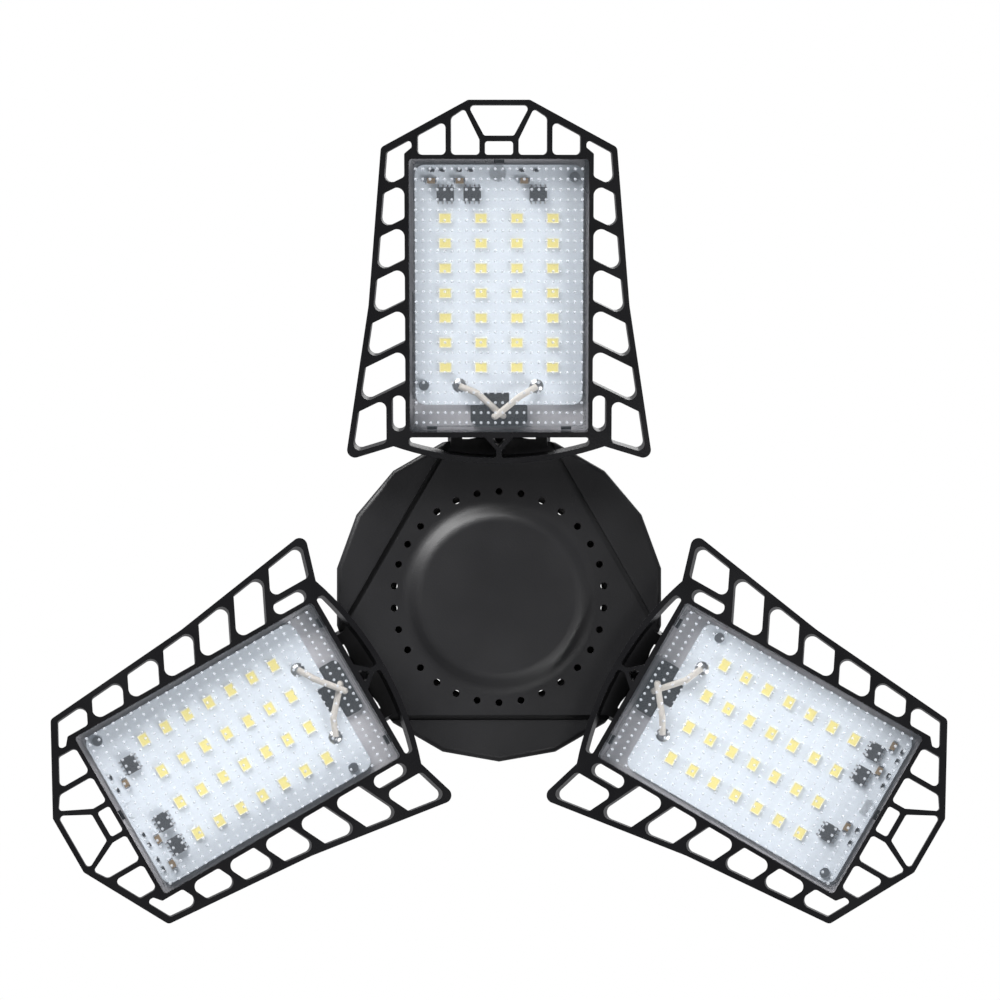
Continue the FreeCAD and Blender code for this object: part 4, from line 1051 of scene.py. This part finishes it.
@dataclass
class Studio:
    """The camera below the lamp, the soft lights, the white surround and a pale floor far below."""

    camera_distance: float = 780.0 * MM
    plateau_height: float = -61.0 * MM
    focal_mm: float = 98.9
    sensor_mm: float = 36.0
    shift: tuple[float, float] = (0.001, 0.097)
    floor_height: float = -2.4
    ambient: str = "#8a8a8c"
    flag_radius: float = 330.0 * MM

    def camera(self) -> None:
        """Sets up the camera that looks straight up, with the first panel at the top of the picture."""
        data = bpy.data.cameras.new("from_below")
        data.lens = self.focal_mm
        data.sensor_width = self.sensor_mm
        data.shift_x, data.shift_y = self.shift
        data.clip_end = 50.0
        camera = bpy.data.objects.new("from_below", data)
        camera.location = (0, 0, self.plateau_height - self.camera_distance)
        camera.rotation_euler = (math.pi, 0, 0)
        bpy.context.collection.objects.link(camera)
        bpy.context.scene.camera = camera

    def light(self, name: str, towards: Point, distance: float, size: float, power: float) -> None:
        """Adds a soft light that faces the lamp.

        Args:
            name: The light's name.
            towards: Its direction from the lamp.
            distance: How far away it is.
            size: The side of its square face.
            power: Its power in watts.
        """
        data = bpy.data.lights.new(name, "AREA")
        data.shape = "SQUARE"
        data.size = size
        data.energy = power
        lamp = bpy.data.objects.new(name, data)
        way = Vector(towards).normalized()
        lamp.location = way * distance + Vector((0, 0, self.plateau_height))
        lamp.rotation_euler = way.to_track_quat("Z", "Y").to_euler()
        bpy.context.collection.objects.link(lamp)

    def surround(self) -> None:
        """Makes the world: white where the camera and clear parts see it, dimmer as a light and in gloss."""
        world = bpy.data.worlds.new("white_surround")
        world.use_nodes = True
        bpy.context.scene.world = world
        tree = world.node_tree
        tree.nodes.clear()
        path = add_node(tree, "ShaderNodeLightPath")
        seen = add_node(tree, "ShaderNodeMath", {"operation": "MAXIMUM"})
        tree.links.new(path.outputs["Is Camera Ray"], seen.inputs[0])
        tree.links.new(path.outputs["Is Transmission Ray"], seen.inputs[1])
        mix = add_node(
            tree,
            "ShaderNodeMix",
            {"data_type": "RGBA", 6: linear(self.ambient), 7: WHITE},
            Factor=seen.outputs["Value"],
        )
        background = add_node(tree, "ShaderNodeBackground", {"Strength": 1.0}, Color=mix.outputs[2])
        add_node(tree, "ShaderNodeOutputWorld", {}, Surface=background.outputs["Background"])

    def floor(self) -> None:
        """Adds the pale floor of the room, which shows white where it is seen."""
        deselect()
        bpy.ops.mesh.primitive_plane_add(size=30.0, location=(0, 0, self.floor_height))
        plane = bpy.context.object
        plane.name = "floor"
        bpy.ops.object.transform_apply(location=True, rotation=True, scale=True)
        material = bpy.data.materials.new("pale_floor")
        material.use_nodes = True
        tree = material.node_tree
        shader = tree.nodes["Principled BSDF"]
        shader.inputs["Base Color"].default_value = linear("#d8d8d8")
        shader.inputs["Roughness"].default_value = 0.9
        white = add_node(tree, "ShaderNodeEmission", {"Color": WHITE, "Strength": 1.0})
        path = add_node(tree, "ShaderNodeLightPath")
        seen = add_node(tree, "ShaderNodeMixShader", {}, Fac=path.outputs["Is Camera Ray"])
        tree.links.new(shader.outputs["BSDF"], seen.inputs[1])
        tree.links.new(white.outputs["Emission"], seen.inputs[2])
        tree.links.new(seen.outputs["Shader"], tree.nodes["Material Output"].inputs["Surface"])
        plane.data.materials.append(material)

    def flag(self) -> None:
        """Adds a black disc round the camera, unseen by it, so that flat gloss faces it darkly."""
        deselect()
        height = self.plateau_height - self.camera_distance - 30 * MM
        bpy.ops.mesh.primitive_circle_add(radius=self.flag_radius, fill_type="NGON", location=(0, 0, height))
        disc = bpy.context.object
        disc.name = "black_flag"
        bpy.ops.object.transform_apply(location=True, rotation=True, scale=True)
        material = bpy.data.materials.new("black_cloth")
        material.use_nodes = True
        shader = material.node_tree.nodes["Principled BSDF"]
        shader.inputs["Base Color"].default_value = linear("#101010")
        shader.inputs["Roughness"].default_value = 1.0
        disc.data.materials.append(material)
        disc.visible_camera = False
        disc.visible_transmission = False
        disc.visible_shadow = False

    def build(self) -> None:
        """Sets the studio up."""
        bpy.context.scene.view_settings.view_transform = "Standard"
        self.camera()
        self.surround()
        self.floor()
        self.flag()
        self.light("key", (-0.44, -0.82, -0.40), 1.0, 0.80, 22.0)
        self.light("second", (0.80, 0.52, -0.42), 1.0, 0.45, 10.0)
        self.light("front", (0.25, 0.35, -0.90), 1.5, 0.60, 2.4)
        self.light("from_above", (0.3, -0.5, 0.8), 1.8, 1.0, 8.0)


def main() -> None:
    """Builds the lamp's looks and the studio."""
    logging.basicConfig(level=logging.INFO, format="%(name)s: %(message)s")
    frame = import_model()
    NODES.update(frame["nodes"])
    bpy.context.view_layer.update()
    Hub().build()
    ScrewCap().build()
    for number in (1, 2, 3):
        Panel(number).build()
    Studio().build()


if __name__ == "__main__":
    main()
